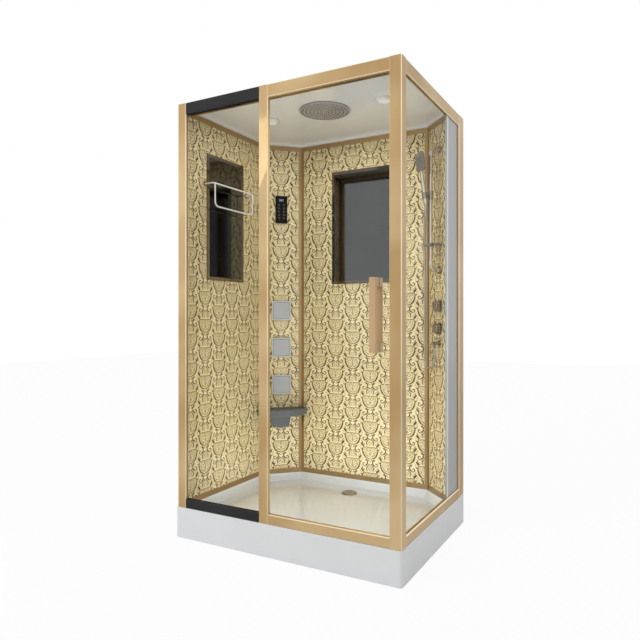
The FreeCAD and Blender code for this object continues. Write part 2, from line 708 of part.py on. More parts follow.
def make_corners():
    arm = s.joint_arm
    pairs = ((left_wall, left_length, left_column, column_width),
             (left_column, column_width, back_wall, back_length),
             (back_wall, back_length, right_column, column_width))
    profiles = []
    for one, one_length, two, two_length in pairs:
        solid_1, slot_1 = arms(one, one_length, True, arm)
        solid_2, slot_2 = arms(two, two_length, False, arm)
        profiles.append(cut(fuse(solid_1, solid_2), slot_1, slot_2))
    # the last corner is wedged against the inner faces of the side rails
    panel = right_face - s.bar_thick
    lip, back, reach = s.profile_lip * SLANT, s.end_back * SLANT, s.end_arm * SLANT
    near_y = wall_right + column_y - s.profile_lip * ROOT2 - panel
    far_y = wall_right + column_y + s.end_back * ROOT2 - panel
    wedge = [(panel, near_y), (panel, far_y),
             (wall_right - reach + back, column_y + reach + back),
             (wall_right - reach - lip, column_y + reach - lip)]
    solid = bar(WORLD, 0, 0, tray_top, wedge, wall_height)
    slot = box(right_column, column_width / 2 - s.end_arm - s.groove, -s.fit, tray_top,
               s.groove * 2, s.wall_glass + s.fit * 2, wall_height)
    profiles.append(cut(solid, slot))
    # the left wall starts in an upright channel behind the front post
    lip, back, a, g = -s.profile_lip, s.profile_back, s.joint_arm, s.groove
    hi = s.wall_glass + s.fit
    section = [(0, lip), (a, lip), (a, -s.fit), (a - g, -s.fit), (a - g, hi), (a, hi), (a, back),
               (0, back)]
    profiles.append(bar(left_wall, -left_length / 2, 0, tray_top, section, wall_height))
    keep("corner_profiles", group(*profiles))


def make_walls():
    lip, back, tall, g = -s.profile_lip, s.profile_back, s.profile_height, s.groove
    hi = s.wall_glass + s.fit
    base = [(lip, 0), (back, 0), (back, tall), (hi, tall), (hi, tall - g), (-s.fit, tall - g),
            (-s.fit, tall), (lip, tall)]
    head = [(lip, 0), (-s.fit, 0), (-s.fit, g), (hi, g), (hi, 0), (back, 0), (back, tall),
            (lip, tall)]
    reach = s.groove - s.fit
    walls = (("left", left_wall, left_length, s.joint_arm, s.joint_arm),
             ("left_column", left_column, column_width, s.joint_arm, s.joint_arm),
             ("back", back_wall, back_length, s.joint_arm, s.joint_arm),
             ("right_column", right_column, column_width, s.joint_arm, s.end_arm))
    channels = []
    for name, frame, length, start_arm, end_arm in walls:
        u0 = start_arm - length / 2
        run = length - start_arm - end_arm
        section_base, section_head = base, head
        if name == "right_column":
            # its back edge stays clear of the slim last corner
            section_base = [(x if x is not back else s.end_back, y) for x, y in base]
            section_head = [(x if x is not back else s.end_back, y) for x, y in head]
        channels.append(bar(frame, u0, 0, tray_top, section_base, run, ALONG_U))
        channels.append(bar(frame, u0, 0, wall_top - tall, section_head, run, ALONG_U))
        z0 = tray_top + tall - reach
        z1 = wall_top - tall + reach
        panel = box(frame, u0 - reach, 0, z0, run + reach * 2, s.wall_glass, z1 - z0)
        holes = []
        deep = s.wall_glass * 3
        if name == "left_column":
            for i in range(3):
                z = s.jet_top - s.jet_pitch * i
                holes.append(round_bar(frame, -s.service_shift, -s.wall_glass, z, s.jet_hole,
                                       deep, BACKWARD))
            z = s.panel_bottom + s.panel_height / 2
            holes.append(round_bar(frame, -s.service_shift, -s.wall_glass, z, s.panel_plug,
                                   deep, BACKWARD))
        if name == "right_column":
            for i in range(2):
                z = s.mixer_top - s.mixer_pitch * i
                holes.append(round_bar(frame, s.rail_shift, -s.wall_glass, z, s.valve_hole,
                                       deep, BACKWARD))
            holes.append(round_bar(frame, s.rail_shift, -s.wall_glass, s.outlet_height,
                                   s.outlet_radius + s.fit, deep, BACKWARD))
        keep("wall_" + name, cut(panel, *holes))
    keep("wall_channels", group(*channels))


def make_mirrors():
    thick = s.mirror_thick
    keep("mirrors", group(
        box(left_wall, -s.mirror_left_shift - s.mirror_left_width / 2, -thick,
            s.mirror_bottom, s.mirror_left_width, thick, s.mirror_height),
        box(back_wall, s.mirror_back_shift - s.mirror_back_width / 2, -thick,
            s.mirror_bottom, s.mirror_back_width, thick, s.mirror_height)))


# Ceiling: one moulded sheet with a dropped rim, notched round the back post
def ceiling_inner(margin):
    x0 = wall_left + margin
    x1 = right_face - s.bar_thick - s.fit - margin
    y0 = front_face + s.track_back + s.fit + margin
    y1 = wall_back - margin
    slip = margin * CORNER_SHARE
    # the right slant runs on to the side rail
    right_y = wall_right + column_y - margin * ROOT2 - x1
    return [(x0, y0), (x1, y0), (x1, right_y), (wall_right - s.column_leg - slip, y1),
            (wall_left + s.column_leg + slip, y1), (x0, column_y - slip)]


def make_ceiling():
    body = new_body()
    x0, x1 = left_face, right_face - s.bar_thick - s.fit
    y0, y1 = front_face + s.track_back + s.fit, back_face
    notch_x, notch_y = door_post - s.fit, back_post - s.fit
    sheet_high = s.ceiling_cove + s.ceiling_skin
    plate = new_sketch(body)
    outline(plate, [(x0, y0), (x1, y0), (x1, notch_y), (notch_x, notch_y), (notch_x, y1),
                    (x0, y1)])
    head_x, head_y = as_length(s.head_x), as_length(s.head_y)
    circle(plate, head_x, head_y, s.head_neck + s.fit)
    for x in (head_x - s.light_pitch, head_x + s.light_pitch):
        circle(plate, x, head_y, s.can_radius + s.fit)
    for frame in (left_column, right_column):
        port = s.ceiling_port_width
        near, far = s.ceiling_port_start, s.ceiling_port_start + s.ceiling_port_depth
        outline(plate, [frame.point(u, v) for u, v in ((-port / 2, near), (port / 2, near),
                                                       (port / 2, far), (-port / 2, far))])
    pad(body, plate, sheet_high)
    doc.recompute()
    cove = new_sketch(body)
    outline(cove, ceiling_inner(s.ceiling_rim))
    pocket(body, cove, s.ceiling_cove, up=True)
    return keep("ceiling", place(body, WORLD, 0, 0, wall_top))


def make_rain_head():
    x, y = s.head_x, s.head_y
    under = wall_top + s.ceiling_cove
    disc = under - s.head_thick - s.fit
    r, boss = s.head_radius, s.head_boss
    rim = s.head_thick / 2
    section = [(0, disc), (r - rim, disc), (r, disc + rim), (r - rim, disc + s.head_thick),
               (boss, disc + s.head_thick), (boss, under), (s.head_neck, under),
               (s.head_neck, under + s.ceiling_skin + s.head_boss_height), (0, under
               + s.ceiling_skin + s.head_boss_height)]
    keep("rain_head", turned(WORLD, x, y, 0, section))
    pins = []
    for ring in range(1, 7):
        count = 6 * ring
        radius = s.head_ring_step * ring
        for i in range(count):
            angle = 2 * math.pi * (i + HALF * (ring % 2)) / count
            pins.append(round_bar(WORLD, x + radius * math.cos(angle),
                                  y + radius * math.sin(angle), disc - s.head_nozzle_height,
                                  s.head_nozzle, s.head_nozzle_height))
    keep("rain_nozzles", group(*pins))


def make_lights():
    under = wall_top + s.ceiling_cove
    y = s.head_y
    lamps, lenses = [], []
    for x in (s.head_x - s.light_pitch, s.head_x + s.light_pitch):
        r, ring, h = s.light_radius, s.light_ring, s.light_height
        low = under - h
        section = [(s.lens_radius + s.fit, low), (r - ring / 2, low), (r, low + ring / 2),
                   (r, under), (s.can_radius, under), (s.can_radius, under + s.ceiling_skin),
                   (0, under + s.ceiling_skin), (0, low + s.lens_thick * 2),
                   (s.lens_radius + s.fit, low + s.lens_thick * 2)]
        lamps.append(turned(WORLD, x, y, 0, section))
        lens = [(0, low + s.lens_thick), (s.lens_radius, low + s.lens_thick),
                (s.lens_radius, low + s.lens_thick * 2), (0, low + s.lens_thick * 2)]
        lenses.append(turned(WORLD, x, y, 0, lens))
    keep("downlights", group(*lamps))
    keep("light_lenses", group(*lenses))


# Left column: control panel, three jets, seat
jet_far = s.wall_glass + s.jet_nut_height + s.jet_tail_length


def make_control_panel():
    u, z = -s.service_shift, s.panel_bottom
    w, h, inset = s.panel_width, s.panel_height, s.panel_case_inset
    case = box(left_column, u - w / 2 + inset, -s.panel_case, z + inset, w - inset * 2,
               s.panel_case, h - inset * 2)
    plug = round_bar(left_column, u, 0, z + h / 2, s.panel_plug - s.fit,
                     s.wall_glass + s.panel_plug_depth, BACKWARD)
    keep("panel_case", fuse(case, plug))
    keep("panel_face", box(left_column, u - w / 2, -s.panel_case - s.panel_face, z, w,
                           s.panel_face, h))


def make_jets():
    u, size, rim = -s.service_shift, s.jet_size, s.jet_rim
    rims, faces, bodies = [], [], []
    for i in range(3):
        z = s.jet_top - s.jet_pitch * i
        body = new_body()
        sketch = new_sketch(body, "XZ_Plane")
        outline(sketch, rectangle(u - size / 2, -size / 2, size, size))
        outline(sketch, rectangle(u - size / 2 + rim, rim - size / 2, size - rim * 2,
                                  size - rim * 2))
        pad(body, sketch, s.jet_rim_depth)
        rims.append(place(body, left_column, 0, 0, z))
        hole = size - rim * 2 - s.fit * 2
        faces.append(box(left_column, u - hole / 2, -s.jet_back - s.jet_face_depth, z - hole / 2,
                         hole, s.jet_face_depth, hole))
        glass, neck = s.wall_glass, s.jet_neck
        nut_end = glass + s.jet_nut_height
        tail = [(0, -s.jet_back), (neck, -s.jet_back), (neck, glass), (s.jet_nut, glass),
                (s.jet_nut, nut_end), (s.jet_tail, nut_end), (s.jet_tail, jet_far),
                (0, jet_far)]
        bodies.append(turned(left_column, u, 0, z, tail, BACKWARD))
    keep("jet_rims", group(*rims))
    keep("jet_faces", group(*faces))
    keep("jet_bodies", group(*bodies))


def seat_plan(inset, low, height):
    """Straight along the wall, out at both sides, and one arc round the front."""
    centre, gap, ear = -s.service_shift, s.fit + inset, s.seat_ear
    half, deep, wall = s.seat_half, s.seat_depth, s.seat_wall_half - inset / 2
    plan = [(centre - wall, -gap), (centre - half + inset, -ear), (centre - half + inset, -deep),
            (centre + half - inset, -deep), (centre + half - inset, -ear), (centre + wall, -gap)]
    slab = bar(left_column, 0, 0, low, plan, height)
    # the arc's radius follows from its width and its rise
    rise = deep - ear
    radius = Length((half.value ** 2 + rise.value ** 2) / (2 * rise.value),
                    "((%s ^ 2 + %s ^ 2) / (2 * %s))" % (half.formula, rise.formula,
                                                       rise.formula))
    disc = round_bar(left_column, centre, radius - deep, low, radius - inset, height)
    return common(slab, disc)


def make_seat():
    low = s.seat_top - s.seat_rim
    gap = s.fit
    keep("seat", cut(seat_plan(ZERO, low, s.seat_rim),
                     seat_plan(s.seat_rim_width, s.seat_top - s.seat_dish, s.seat_rim)))
    # the bucket under the seat narrows downward
    bucket = new_body()
    shift = -s.service_shift - s.bucket_shift
    top_sketch = new_sketch(bucket, "XY_Plane", s.bucket_height)
    outline(top_sketch, rectangle(shift - s.bucket_top / 2, -gap - s.bucket_depth, s.bucket_top,
                                  s.bucket_depth))
    low_sketch = new_sketch(bucket, "XY_Plane")
    outline(low_sketch, rectangle(shift - s.bucket_bottom / 2, -gap - s.bucket_depth_low,
                                  s.bucket_bottom, s.bucket_depth_low))
    loft = bucket.newObject("PartDesign::AdditiveLoft", "Bucket")
    loft.Profile = low_sketch
    loft.Sections = [top_sketch]
    loft.Ruled = True
    keep("seat_bracket", place(bucket, left_column, 0, 0, low - s.bucket_height))


# Bent rods and pipes: straight runs joined by tangent arcs, swept with a round section
def rounded_wire(points, bends):
    """A path through the points; bends gives the arc radius at each inner point."""
    edges = []
    start = points[0]
    for i in range(1, len(points) - 1):
        before = (points[i - 1] - points[i]).normalize()
        after = (points[i + 1] - points[i]).normalize()
        half_turn = (math.pi - before.getAngle(after)) / 2
        trim = bends[i - 1] * math.tan(half_turn)
        first = points[i] + before * trim
        last = points[i] + after * trim
        middle_way = (before + after).normalize()
        to_centre = bends[i - 1] / math.cos(half_turn)
        middle = points[i] + middle_way * (to_centre - bends[i - 1])
        edges.append(Part.LineSegment(start, first).toShape())
        edges.append(Part.Arc(first, middle, last).toShape())
        start = last
    edges.append(Part.LineSegment(start, points[-1]).toShape())
    return Part.Wire(edges)


def swept(points, bends, radius, bore=None):
    wire = rounded_wire(points, bends)
    way = (points[1] - points[0]).normalize()
    shape = sweep_round(wire, points[0], way, radius)
    if bore is not None:
        shape = shape.cut(sweep_round(wire, points[0], way, bore))
    return shape, wire.Length


def sweep_round(wire, start, way, radius):
    ring = Part.Wire([Part.Circle(start, way, radius).toShape()])
    return wire.makePipeShell([ring], True, False)


def shaped(label, shape):
    """A sub-part whose bent shape is worked out from the sheet's sizes."""
    thing = doc.addObject("Part::Feature", "Bent")
    thing.Shape = shape
    thing.Placement = Placement()
    return keep(label, thing)


def spot(frame, u, v, z):
    x, y = frame.point(u, v)
    return Vector(x.value, y.value, as_length(z).value)


def make_rack():
    y0 = s.rack_front
    y1 = y0 + s.rack_length
    wall_x, out_x = wall_left + s.flange_thick, wall_left + s.rack_reach
    rod = s.rack_rod.value
    upper = [Vector(x.value, y.value, s.rack_top.value)
             for x, y in ((wall_x, y0), (out_x, y0), (out_x, y1), (wall_x, y1))]
    bend = s.rack_bend.value
    bar_shape, _ = swept(upper, [bend] * 2, rod)
    inner = s.rack_bend
    low = s.rack_top - s.rack_drop
    loop = [Vector(out_x.value, y.value, z.value)
            for y, z in ((y0 + inner, s.rack_top), (y0 + inner, low), (y1 - inner, low),
                         (y1 - inner, s.rack_top))]
    loop_bend = s.rack_loop_bend.value
    loop_shape, _ = swept(loop, [loop_bend] * 2, rod)
    shaped("towel_rack", bar_shape.fuse(loop_shape))
    rosettes.extend(round_bar(WORLD, wall_left, y, s.rack_top, s.flange_radius,
                              s.flange_thick, SIDEWAYS) for y in (y0, y1))


# Right column: riser rail, slider, hand shower, soap dish, mixer and hose
rail_v = -s.rail_standoff
rosettes = []


def make_riser():
    u = s.rail_shift
    column = right_column
    pieces = [round_bar(column, u, rail_v, s.rail_low, s.rail_radius, s.rail_high - s.rail_low)]
    for z, way in ((s.rail_high, 1), (s.rail_low, -1)):
        rise = (s.bracket_bend + s.bracket_straight) * way
        points = [spot(column, u, rail_v, z), spot(column, u, rail_v, z + rise),
                  spot(column, u, -s.rosette_thick, z + rise)]
        shape, _ = swept(points, [s.bracket_bend.value], s.bracket_radius.value)
        bracket = doc.addObject("Part::Feature", "Bracket")
        bracket.Shape = shape
        pieces.append(bracket)
        rosettes.append(round_bar(column, u, 0, z + rise, s.rosette_radius, s.rosette_thick,
                                  FORWARD))
    keep("riser_rail", fuse(*pieces))


def make_slider():
    """Clamp on the riser; its lug carries the pin on which the socket tilts."""
    u, z = s.rail_shift, s.slider_z
    low = z - s.slider_height / 2
    bore = s.rail_radius + s.running
    outer = s.rail_radius + s.slider_wall
    hollow = round_bar(right_column, u, rail_v, low, bore, s.slider_height)
    sleeve = round_bar(right_column, u, rail_v, low, outer, s.slider_height)
    lug = box(right_column, u - s.lug_width / 2, pivot_v, z - s.pivot_radius, s.lug_width,
              pivot_reach, s.pivot_radius * 2)
    tip = round_bar(right_column, u - s.lug_width / 2, pivot_v, z, s.pivot_radius, s.lug_width,
                    SIDEWAYS)
    span = s.lug_width + (s.ear_width + s.fit) * 2
    pin = round_bar(right_column, u - span / 2, pivot_v, z, s.pivot_pin, span, SIDEWAYS)
    keep("slider", cut(fuse(sleeve, lug, tip, pin), hollow))


# The pin stands clear in front of the slider, and the socket as clear in front of the pin
pivot_reach = s.rail_radius + s.slider_wall + s.pivot_radius + s.pivot_gap
pivot_v = rail_v - pivot_reach
socket_outer = s.grip_radius + s.running + s.socket_wall
grip_out = s.pivot_radius + s.pivot_gap + socket_outer
tilt_cos = math.cos(math.radians(TILT_DEG))
tilt_sin = math.sin(math.radians(TILT_DEG))
grip_end = s.socket_height / 2 + s.grip_below


def place_tilted(thing):
    """Leans a piece drawn upright round the pin."""
    return place(thing, right_column, s.rail_shift, pivot_v, s.slider_z,
                 Rotation(Vector(1, 0, 0), TILT_DEG))


def grip_spot(along):
    """A point on the leaning grip's axis, so far up from the socket's middle."""
    v = pivot_v - grip_out * tilt_cos - along * tilt_sin
    z = s.slider_z - grip_out * tilt_sin + along * tilt_cos
    return spot(right_column, s.rail_shift, v, z)


def make_socket():
    half = s.socket_height / 2
    sleeve = round_bar(WORLD, 0, -grip_out, -half, socket_outer, s.socket_height)
    bore = round_bar(WORLD, 0, -grip_out, -half, s.grip_radius + s.running, s.socket_height)
    pieces = [sleeve]
    ear_u = s.lug_width / 2 + s.fit
    for start in (ear_u, -ear_u - s.ear_width):
        pieces.append(box(WORLD, start, -grip_out, -s.pivot_radius, s.ear_width, grip_out,
                          s.pivot_radius * 2))
        pieces.append(round_bar(WORLD, start, 0, 0, s.pivot_radius, s.ear_width, SIDEWAYS))
    reach = ear_u + s.ear_width
    pin_hole = round_bar(WORLD, -reach, 0, 0, s.pivot_pin + s.running, reach * 2, SIDEWAYS)
    keep("socket", place_tilted(cut(fuse(*pieces), bore, pin_hole)))


def make_hand_shower():
    low = -grip_end
    r, taper = s.grip_radius, s.grip_taper
    nut_low = low - s.grip_nut_height
    grip = [(0, nut_low), (r - taper, nut_low), (r, low), (r, low + s.grip_length / 2),
            (r - taper, low + s.grip_length), (0, low + s.grip_length)]
    handle = turned(WORLD, 0, -grip_out, 0, grip)
    body = new_body()
    sketch = new_sketch(body, "XZ_Plane")
    w, h, c = s.paddle_width, s.paddle_height, s.paddle_corner
    z0 = low + s.grip_length - s.paddle_corner
    x0 = -w / 2
    outline(sketch, [(x0 + c, z0), (x0 + w - c, z0), (x0 + w, z0 + c), (x0 + w, z0 + h - c),
                     (x0 + w - c, z0 + h), (x0 + c, z0 + h), (x0, z0 + h - c), (x0, z0 + c)])
    pad(body, sketch, s.paddle_thick)
    place(body, WORLD, 0, s.paddle_thick / 2 - grip_out, 0)
    keep("hand_shower", place_tilted(fuse(handle, body)))
    face_v = -grip_out - s.paddle_thick / 2 - s.spray_thick
    face_z = z0 + h / 2
    spray = s.spray_width
    pieces = [box(WORLD, -spray / 2, face_v, face_z - spray / 2, spray, s.spray_thick, spray)]
    for i in range(-2, 3):
        for j in range(-2, 3):
            pieces.append(round_bar(WORLD, s.spray_pitch * i, face_v, face_z + s.spray_pitch * j,
                                    s.spray_nozzle, s.spray_nozzle_height, FORWARD))
    keep("spray_face", place_tilted(fuse(*pieces)))


def make_soap_dish():
    u, z = s.rail_shift, s.dish_z
    rim, thick = s.dish_rim, s.dish_thick
    u0, v0 = u - s.dish_width / 2, rail_v - s.dish_depth + s.dish_behind
    outer = box(right_column, u0, v0, z, s.dish_width, s.dish_depth, rim)
    inner = box(right_column, u0 + thick, v0 + thick, z + thick, s.dish_width - thick * 2,
                s.dish_depth - thick * 2, rim)
    clip = round_bar(right_column, u, rail_v, z - s.dish_clip_height + rim, s.dish_clip,
                     s.dish_clip_height)
    hole = round_bar(right_column, u, rail_v, z - s.dish_clip_height, s.rail_radius + s.running,
                     s.dish_clip_height * 3)
    keep("soap_dish", cut(fuse(cut(outer, inner), clip), hole))


def make_mixer():
    u = s.rail_shift
    glass, thick = s.wall_glass, s.mixer_rosette_thick
    low = s.outlet_height - s.valve_margin
    pieces = [box(right_column, u - s.valve_width / 2, glass, low, s.valve_width, s.valve_depth,
                  valve_top - low)]
    for i in range(2):
        z = s.mixer_top - s.mixer_pitch * i
        pieces.append(round_bar(right_column, u, pipe_v, z, s.valve_neck, pipe_v, FORWARD))
        ring = [(s.knob_neck, 0), (s.mixer_rosette, 0), (s.mixer_rosette, thick / 2),
                (s.mixer_rosette - thick, thick), (s.knob_neck, thick)]
        rosettes.append(turned(right_column, u, 0, z, ring, FORWARD))
        pieces.append(round_bar(right_column, u, 0, z, s.spindle_radius,
                                thick + s.spindle_length, FORWARD))
        start = thick + s.knob_gap
        end = start + s.knob_length
        bore = s.spindle_radius + s.running
        knob = [(bore, start), (s.knob_radius - thick, start), (s.knob_radius, start + thick),
                (s.knob_radius, end - thick / 2), (s.knob_radius - thick / 2, end), (0, end),
                (0, thick + s.spindle_length + s.fit), (bore, thick + s.spindle_length + s.fit)]
        hub = turned(right_column, u, 0, z, knob, FORWARD)
        lever = box(right_column, u - s.knob_lever_width / 2, thick / 2 - end,
                    z + s.knob_radius - thick, s.knob_lever_width, s.knob_lever_width,
                    s.knob_lever)
        keep("mixer_knob_%d" % (i + 1), fuse(hub, lever))
    # both supply tails point back to the bathroom wall, one above the other
    tail_x, tail_y = right_column.point(u - s.inlet_shift, pipe_v)
    corner_x, corner_y = right_column.point(u - s.valve_width / 2, s.wall_glass + s.valve_depth)
    for i in range(2):
        z = low + s.inlet_rise + s.inlet_pitch * i
        pieces.append(round_bar(WORLD, tail_x, tail_y, z, s.inlet_collar, corner_y - tail_y,
                                BACKWARD))
        pieces.append(round_bar(WORLD, tail_x, corner_y, z, s.inlet_radius, s.inlet_length,
                                BACKWARD))
    keep("mixer_body", fuse(*pieces))
    # the hose starts at an elbow below the taps
    arm = round_bar(right_column, u, glass, s.outlet_height, s.outlet_radius,
                    glass + s.outlet_reach + s.outlet_radius, FORWARD)
    drop = round_bar(right_column, u, -s.outlet_reach, s.outlet_height - s.outlet_drop,
                     s.outlet_tip, s.outlet_drop)
    keep("hose_outlet", fuse(arm, drop))
    plate = [(s.outlet_radius + s.fit, 0), (s.outlet_rosette, 0), (s.outlet_rosette, thick),
             (s.outlet_radius + s.fit, thick)]
    rosettes.append(turned(right_column, u, 0, s.outlet_height, plate, FORWARD))
    keep("rosettes", group(*rosettes))


# Hose: from the wall outlet down round a bow and up to the hand shower, in steps of
# (along the column, out from it, height), chosen by hand from the photograph
HOSE_ROUTE = [
    (22, 33, 934.5), (24, 31, 892), (22, 33, 848), (-1.7, 36.8, 824), (-35.3, 42.2, 824),
    (-59, 46, 848), (-61, 47, 905), (-57, 48, 1010), (-46, 53, 1190), (-42, 57, 1400),
    (-36, 61, 1500), (-2, 69, 1585),
]
HOSE_STRAIGHT = 42


def make_hose():
    points = [spot(right_column, u, -v, z) for u, v, z in HOSE_ROUTE]
    # it comes up to the grip in line with it
    end = grip_end + s.grip_nut_height + s.fit
    points.append(grip_spot(-end - HOSE_STRAIGHT))
    points.append(grip_spot(-end))
    bends = []
    for i in range(1, len(points) - 1):
        before = points[i - 1] - points[i]
        after = points[i + 1] - points[i]
        turn = math.pi - before.getAngle(after)
        shorter = min(before.Length, after.Length)
        bends.append(0.45 * shorter / math.tan(turn / 2))
    radius = s.hose_radius.value
    shape, length = swept(points, bends, radius)
    shaped("shower_hose", shape)
    area = math.pi * radius ** 2
    print("hose length %.1f mm, least radius %.1f mm" % (length, min(bends)))
    print("hose radii", " ".join("%.0f" % bend for bend in bends))
    print("hose runs", " ".join("%.0f" % (points[i + 1] - points[i]).Length
                                for i in range(len(points) - 1)))
    print("hose volume %.0f, section times length %.0f" % (shape.Volume, area * length))
    print("hose points", ["%.1f %.1f %.1f" % tuple(point) for point in points])


# Pipes from the mixer up behind the right column and over the ceiling
valve_top = s.mixer_top + s.valve_margin
pipe_v = s.wall_glass + s.valve_depth / 2


def make_pipes():
    roof = wall_top + s.ceiling_cove + s.ceiling_skin
    high = roof + s.pipe_lift
    radius, bend = s.pipe_radius.value, s.pipe_bend.value
    hx, hy = s.head_x, s.head_y
    first = s.rail_shift - s.pipe_pitch / 2
    second = s.rail_shift + s.pipe_pitch / 2
    rain = [spot(right_column, first, pipe_v, valve_top), spot(right_column, first, pipe_v, high),
            Vector(hx.value, hy.value, high.value)]
    shape, _ = swept(rain, [bend], radius)
    run = doc.addObject("Part::Feature", "RainPipe")
    run.Shape = shape
    elbow_low = roof + s.head_boss_height
    elbow_top = high + s.pipe_radius * ELBOW_SHARE
    elbow = round_bar(WORLD, hx, hy, elbow_low, s.pipe_elbow, elbow_top - elbow_low)
    rain_pipe = fuse(run, elbow)
    # the manifold stands behind the jets, one tee to each
    manifold_v = jet_far + s.manifold_radius
    end = s.manifold_tee * MANIFOLD_END_SHARE
    top_tee = s.jet_top + end
    jets = [spot(right_column, second, pipe_v, valve_top),
            spot(right_column, second, pipe_v, high),
            spot(left_column, -s.service_shift, manifold_v, high),
            spot(left_column, -s.service_shift, manifold_v, top_tee)]
    shape, _ = swept(jets, [bend, bend], radius)
    run = doc.addObject("Part::Feature", "JetPipe")
    run.Shape = shape
    low_tee = s.jet_top - s.jet_pitch * 2 - end
    pieces = [run, round_bar(left_column, -s.service_shift, manifold_v, low_tee,
                             s.manifold_radius, top_tee - low_tee)]
    for i in range(3):
        pieces.append(round_bar(left_column, -s.service_shift, jet_far,
                                s.jet_top - s.jet_pitch * i, s.manifold_tee,
                                s.manifold_radius, BACKWARD))
    keep("feed_pipes", group(rain_pipe, fuse(*pieces)))


make_tray()
make_base()
make_waste()
make_front_frame()
make_rails()
make_fixed_glass()
make_track()
make_door()
make_corners()
make_walls()
make_mirrors()
make_ceiling()
make_rain_head()
make_lights()
make_control_panel()
make_jets()
make_seat()
make_rack()
make_riser()
make_slider()
make_socket()
make_hand_shower()
make_soap_dish()
make_mixer()
make_hose()
make_pipes()
doc.recompute()

bad = [thing.Name for thing in doc.Objects if {"Invalid", "Error"} & set(thing.State)]
for label, thing in nodes.items():
    if thing.Shape.isNull() or not thing.Shape.isValid() or not thing.Shape.Solids:
        bad.append(label)
if bad:
    raise RuntimeError("failed pieces: " + ", ".join(bad))

os.makedirs("parts", exist_ok=True)
for label, thing in nodes.items():
    thing.Shape.exportStep("parts/%s.step" % label)
print(len(nodes), "nodes")
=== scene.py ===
import bmesh
import bpy
import json
import math
import random
from mathutils import Matrix, Vector


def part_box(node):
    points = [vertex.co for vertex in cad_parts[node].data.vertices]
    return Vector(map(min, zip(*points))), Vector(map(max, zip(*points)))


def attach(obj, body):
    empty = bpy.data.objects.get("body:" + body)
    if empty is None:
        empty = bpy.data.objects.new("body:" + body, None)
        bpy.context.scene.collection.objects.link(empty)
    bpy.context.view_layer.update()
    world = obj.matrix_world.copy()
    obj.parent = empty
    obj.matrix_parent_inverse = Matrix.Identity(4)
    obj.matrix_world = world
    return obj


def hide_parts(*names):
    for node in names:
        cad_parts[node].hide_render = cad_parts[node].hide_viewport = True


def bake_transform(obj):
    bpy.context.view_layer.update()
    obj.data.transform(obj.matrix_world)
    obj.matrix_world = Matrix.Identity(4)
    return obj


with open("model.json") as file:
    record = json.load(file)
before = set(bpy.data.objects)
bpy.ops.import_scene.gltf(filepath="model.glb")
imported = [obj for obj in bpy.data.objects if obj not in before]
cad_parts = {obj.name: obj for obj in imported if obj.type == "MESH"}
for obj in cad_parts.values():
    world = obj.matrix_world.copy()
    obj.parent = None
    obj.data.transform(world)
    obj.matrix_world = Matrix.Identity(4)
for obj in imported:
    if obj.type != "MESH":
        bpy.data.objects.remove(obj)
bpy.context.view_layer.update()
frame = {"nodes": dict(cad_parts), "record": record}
nodes = frame["nodes"]
MM = 0.001

# Places on the walls, in mm, as the solids have them
COLUMN_MIDDLE = -9
FITTING_FRONT = -12
JET_HEIGHTS = (1133, 909, 685)
PANEL_HEIGHT = 1742
PRINT_LOW, PRINT_HIGH = 176, 2102
MIRROR_LOW, MIRROR_HIGH = 1288, 1952
RAIN_FACE = 2131.7

# The photograph's camera, in pixels of its 640 by 640 frame
FRAME_PX = 640
FOCAL_PX = 590.1
CENTRE_PX = (327.4, 318.1)
SENSOR_MM = 36

# Doubles are merged within this length in metres, faces joined and edges eased by these angles
WELD = 1e-6
FLAT_DEGREES = 0.5
SHARP_DEGREES = 35


class Wall:
    """A wall's own axes: u to the right seen from inside, v behind the wall, z up, in mm."""

    def __init__(self, x, y, degrees):
        self.origin = Vector((x, y, 0))
        self.along = Vector((math.cos(math.radians(degrees)), math.sin(math.radians(degrees)), 0))
        self.behind = Vector((-self.along.y, self.along.x, 0))

    def at(self, u, v, z):
        return (self.origin + self.along * u + self.behind * v + Vector((0, 0, z))) * MM

    def matrix(self, u=0, v=0, z=0):
        """Local X along the wall, local Y up, local Z out into the cabin."""
        out = -self.behind
        turn = Matrix((self.along, Vector((0, 0, 1)), out)).transposed().to_4x4()
        return Matrix.Translation(self.at(u, v, z)) @ turn


LEFT = Wall(-567, -85.5, 90)
LEFT_COLUMN = Wall(-483, 341, 45)
BACK = Wall(4, 425, 0)
RIGHT_COLUMN = Wall(491, 341, -45)


# Materials
def material(name):
    mat = bpy.data.materials.new(name)
    mat.use_nodes = True
    tree = mat.node_tree
    return mat, tree, tree.nodes["Principled BSDF"]


def add(tree, kind, **values):
    """Adds a node; names with a leading capital are input sockets."""
    node = tree.nodes.new(kind)
    for key, value in values.items():
        key = key.replace("_", " ") if key[0].isupper() else key
        if key[0].isupper():
            node.inputs[key].default_value = value
        else:
            setattr(node, key, value)
    return node


def link(tree, source, target):
    tree.links.new(source, target)


def object_space(tree, stretch=(1, 1, 1)):
    coords = add(tree, "ShaderNodeTexCoord")
    mapping = add(tree, "ShaderNodeMapping")
    mapping.inputs["Scale"].default_value = stretch
    link(tree, coords.outputs["Object"], mapping.inputs["Vector"])
    return mapping.outputs["Vector"]


def ramp(tree, factor, stops):
    node = add(tree, "ShaderNodeValToRGB")
    elements = node.color_ramp.elements
    while len(elements) < len(stops):
        elements.new(0.5)
    for element, (place, color) in zip(elements, stops):
        element.position = place
        element.color = (*color, 1)
    link(tree, factor, node.inputs["Fac"])
    return node.outputs["Color"]


def bump(tree, shader, height, strength, distance):
    node = add(tree, "ShaderNodeBump", Strength=strength, Distance=distance)
    link(tree, height, node.inputs["Height"])
    link(tree, node.outputs["Normal"], shader.inputs["Normal"])
    return node


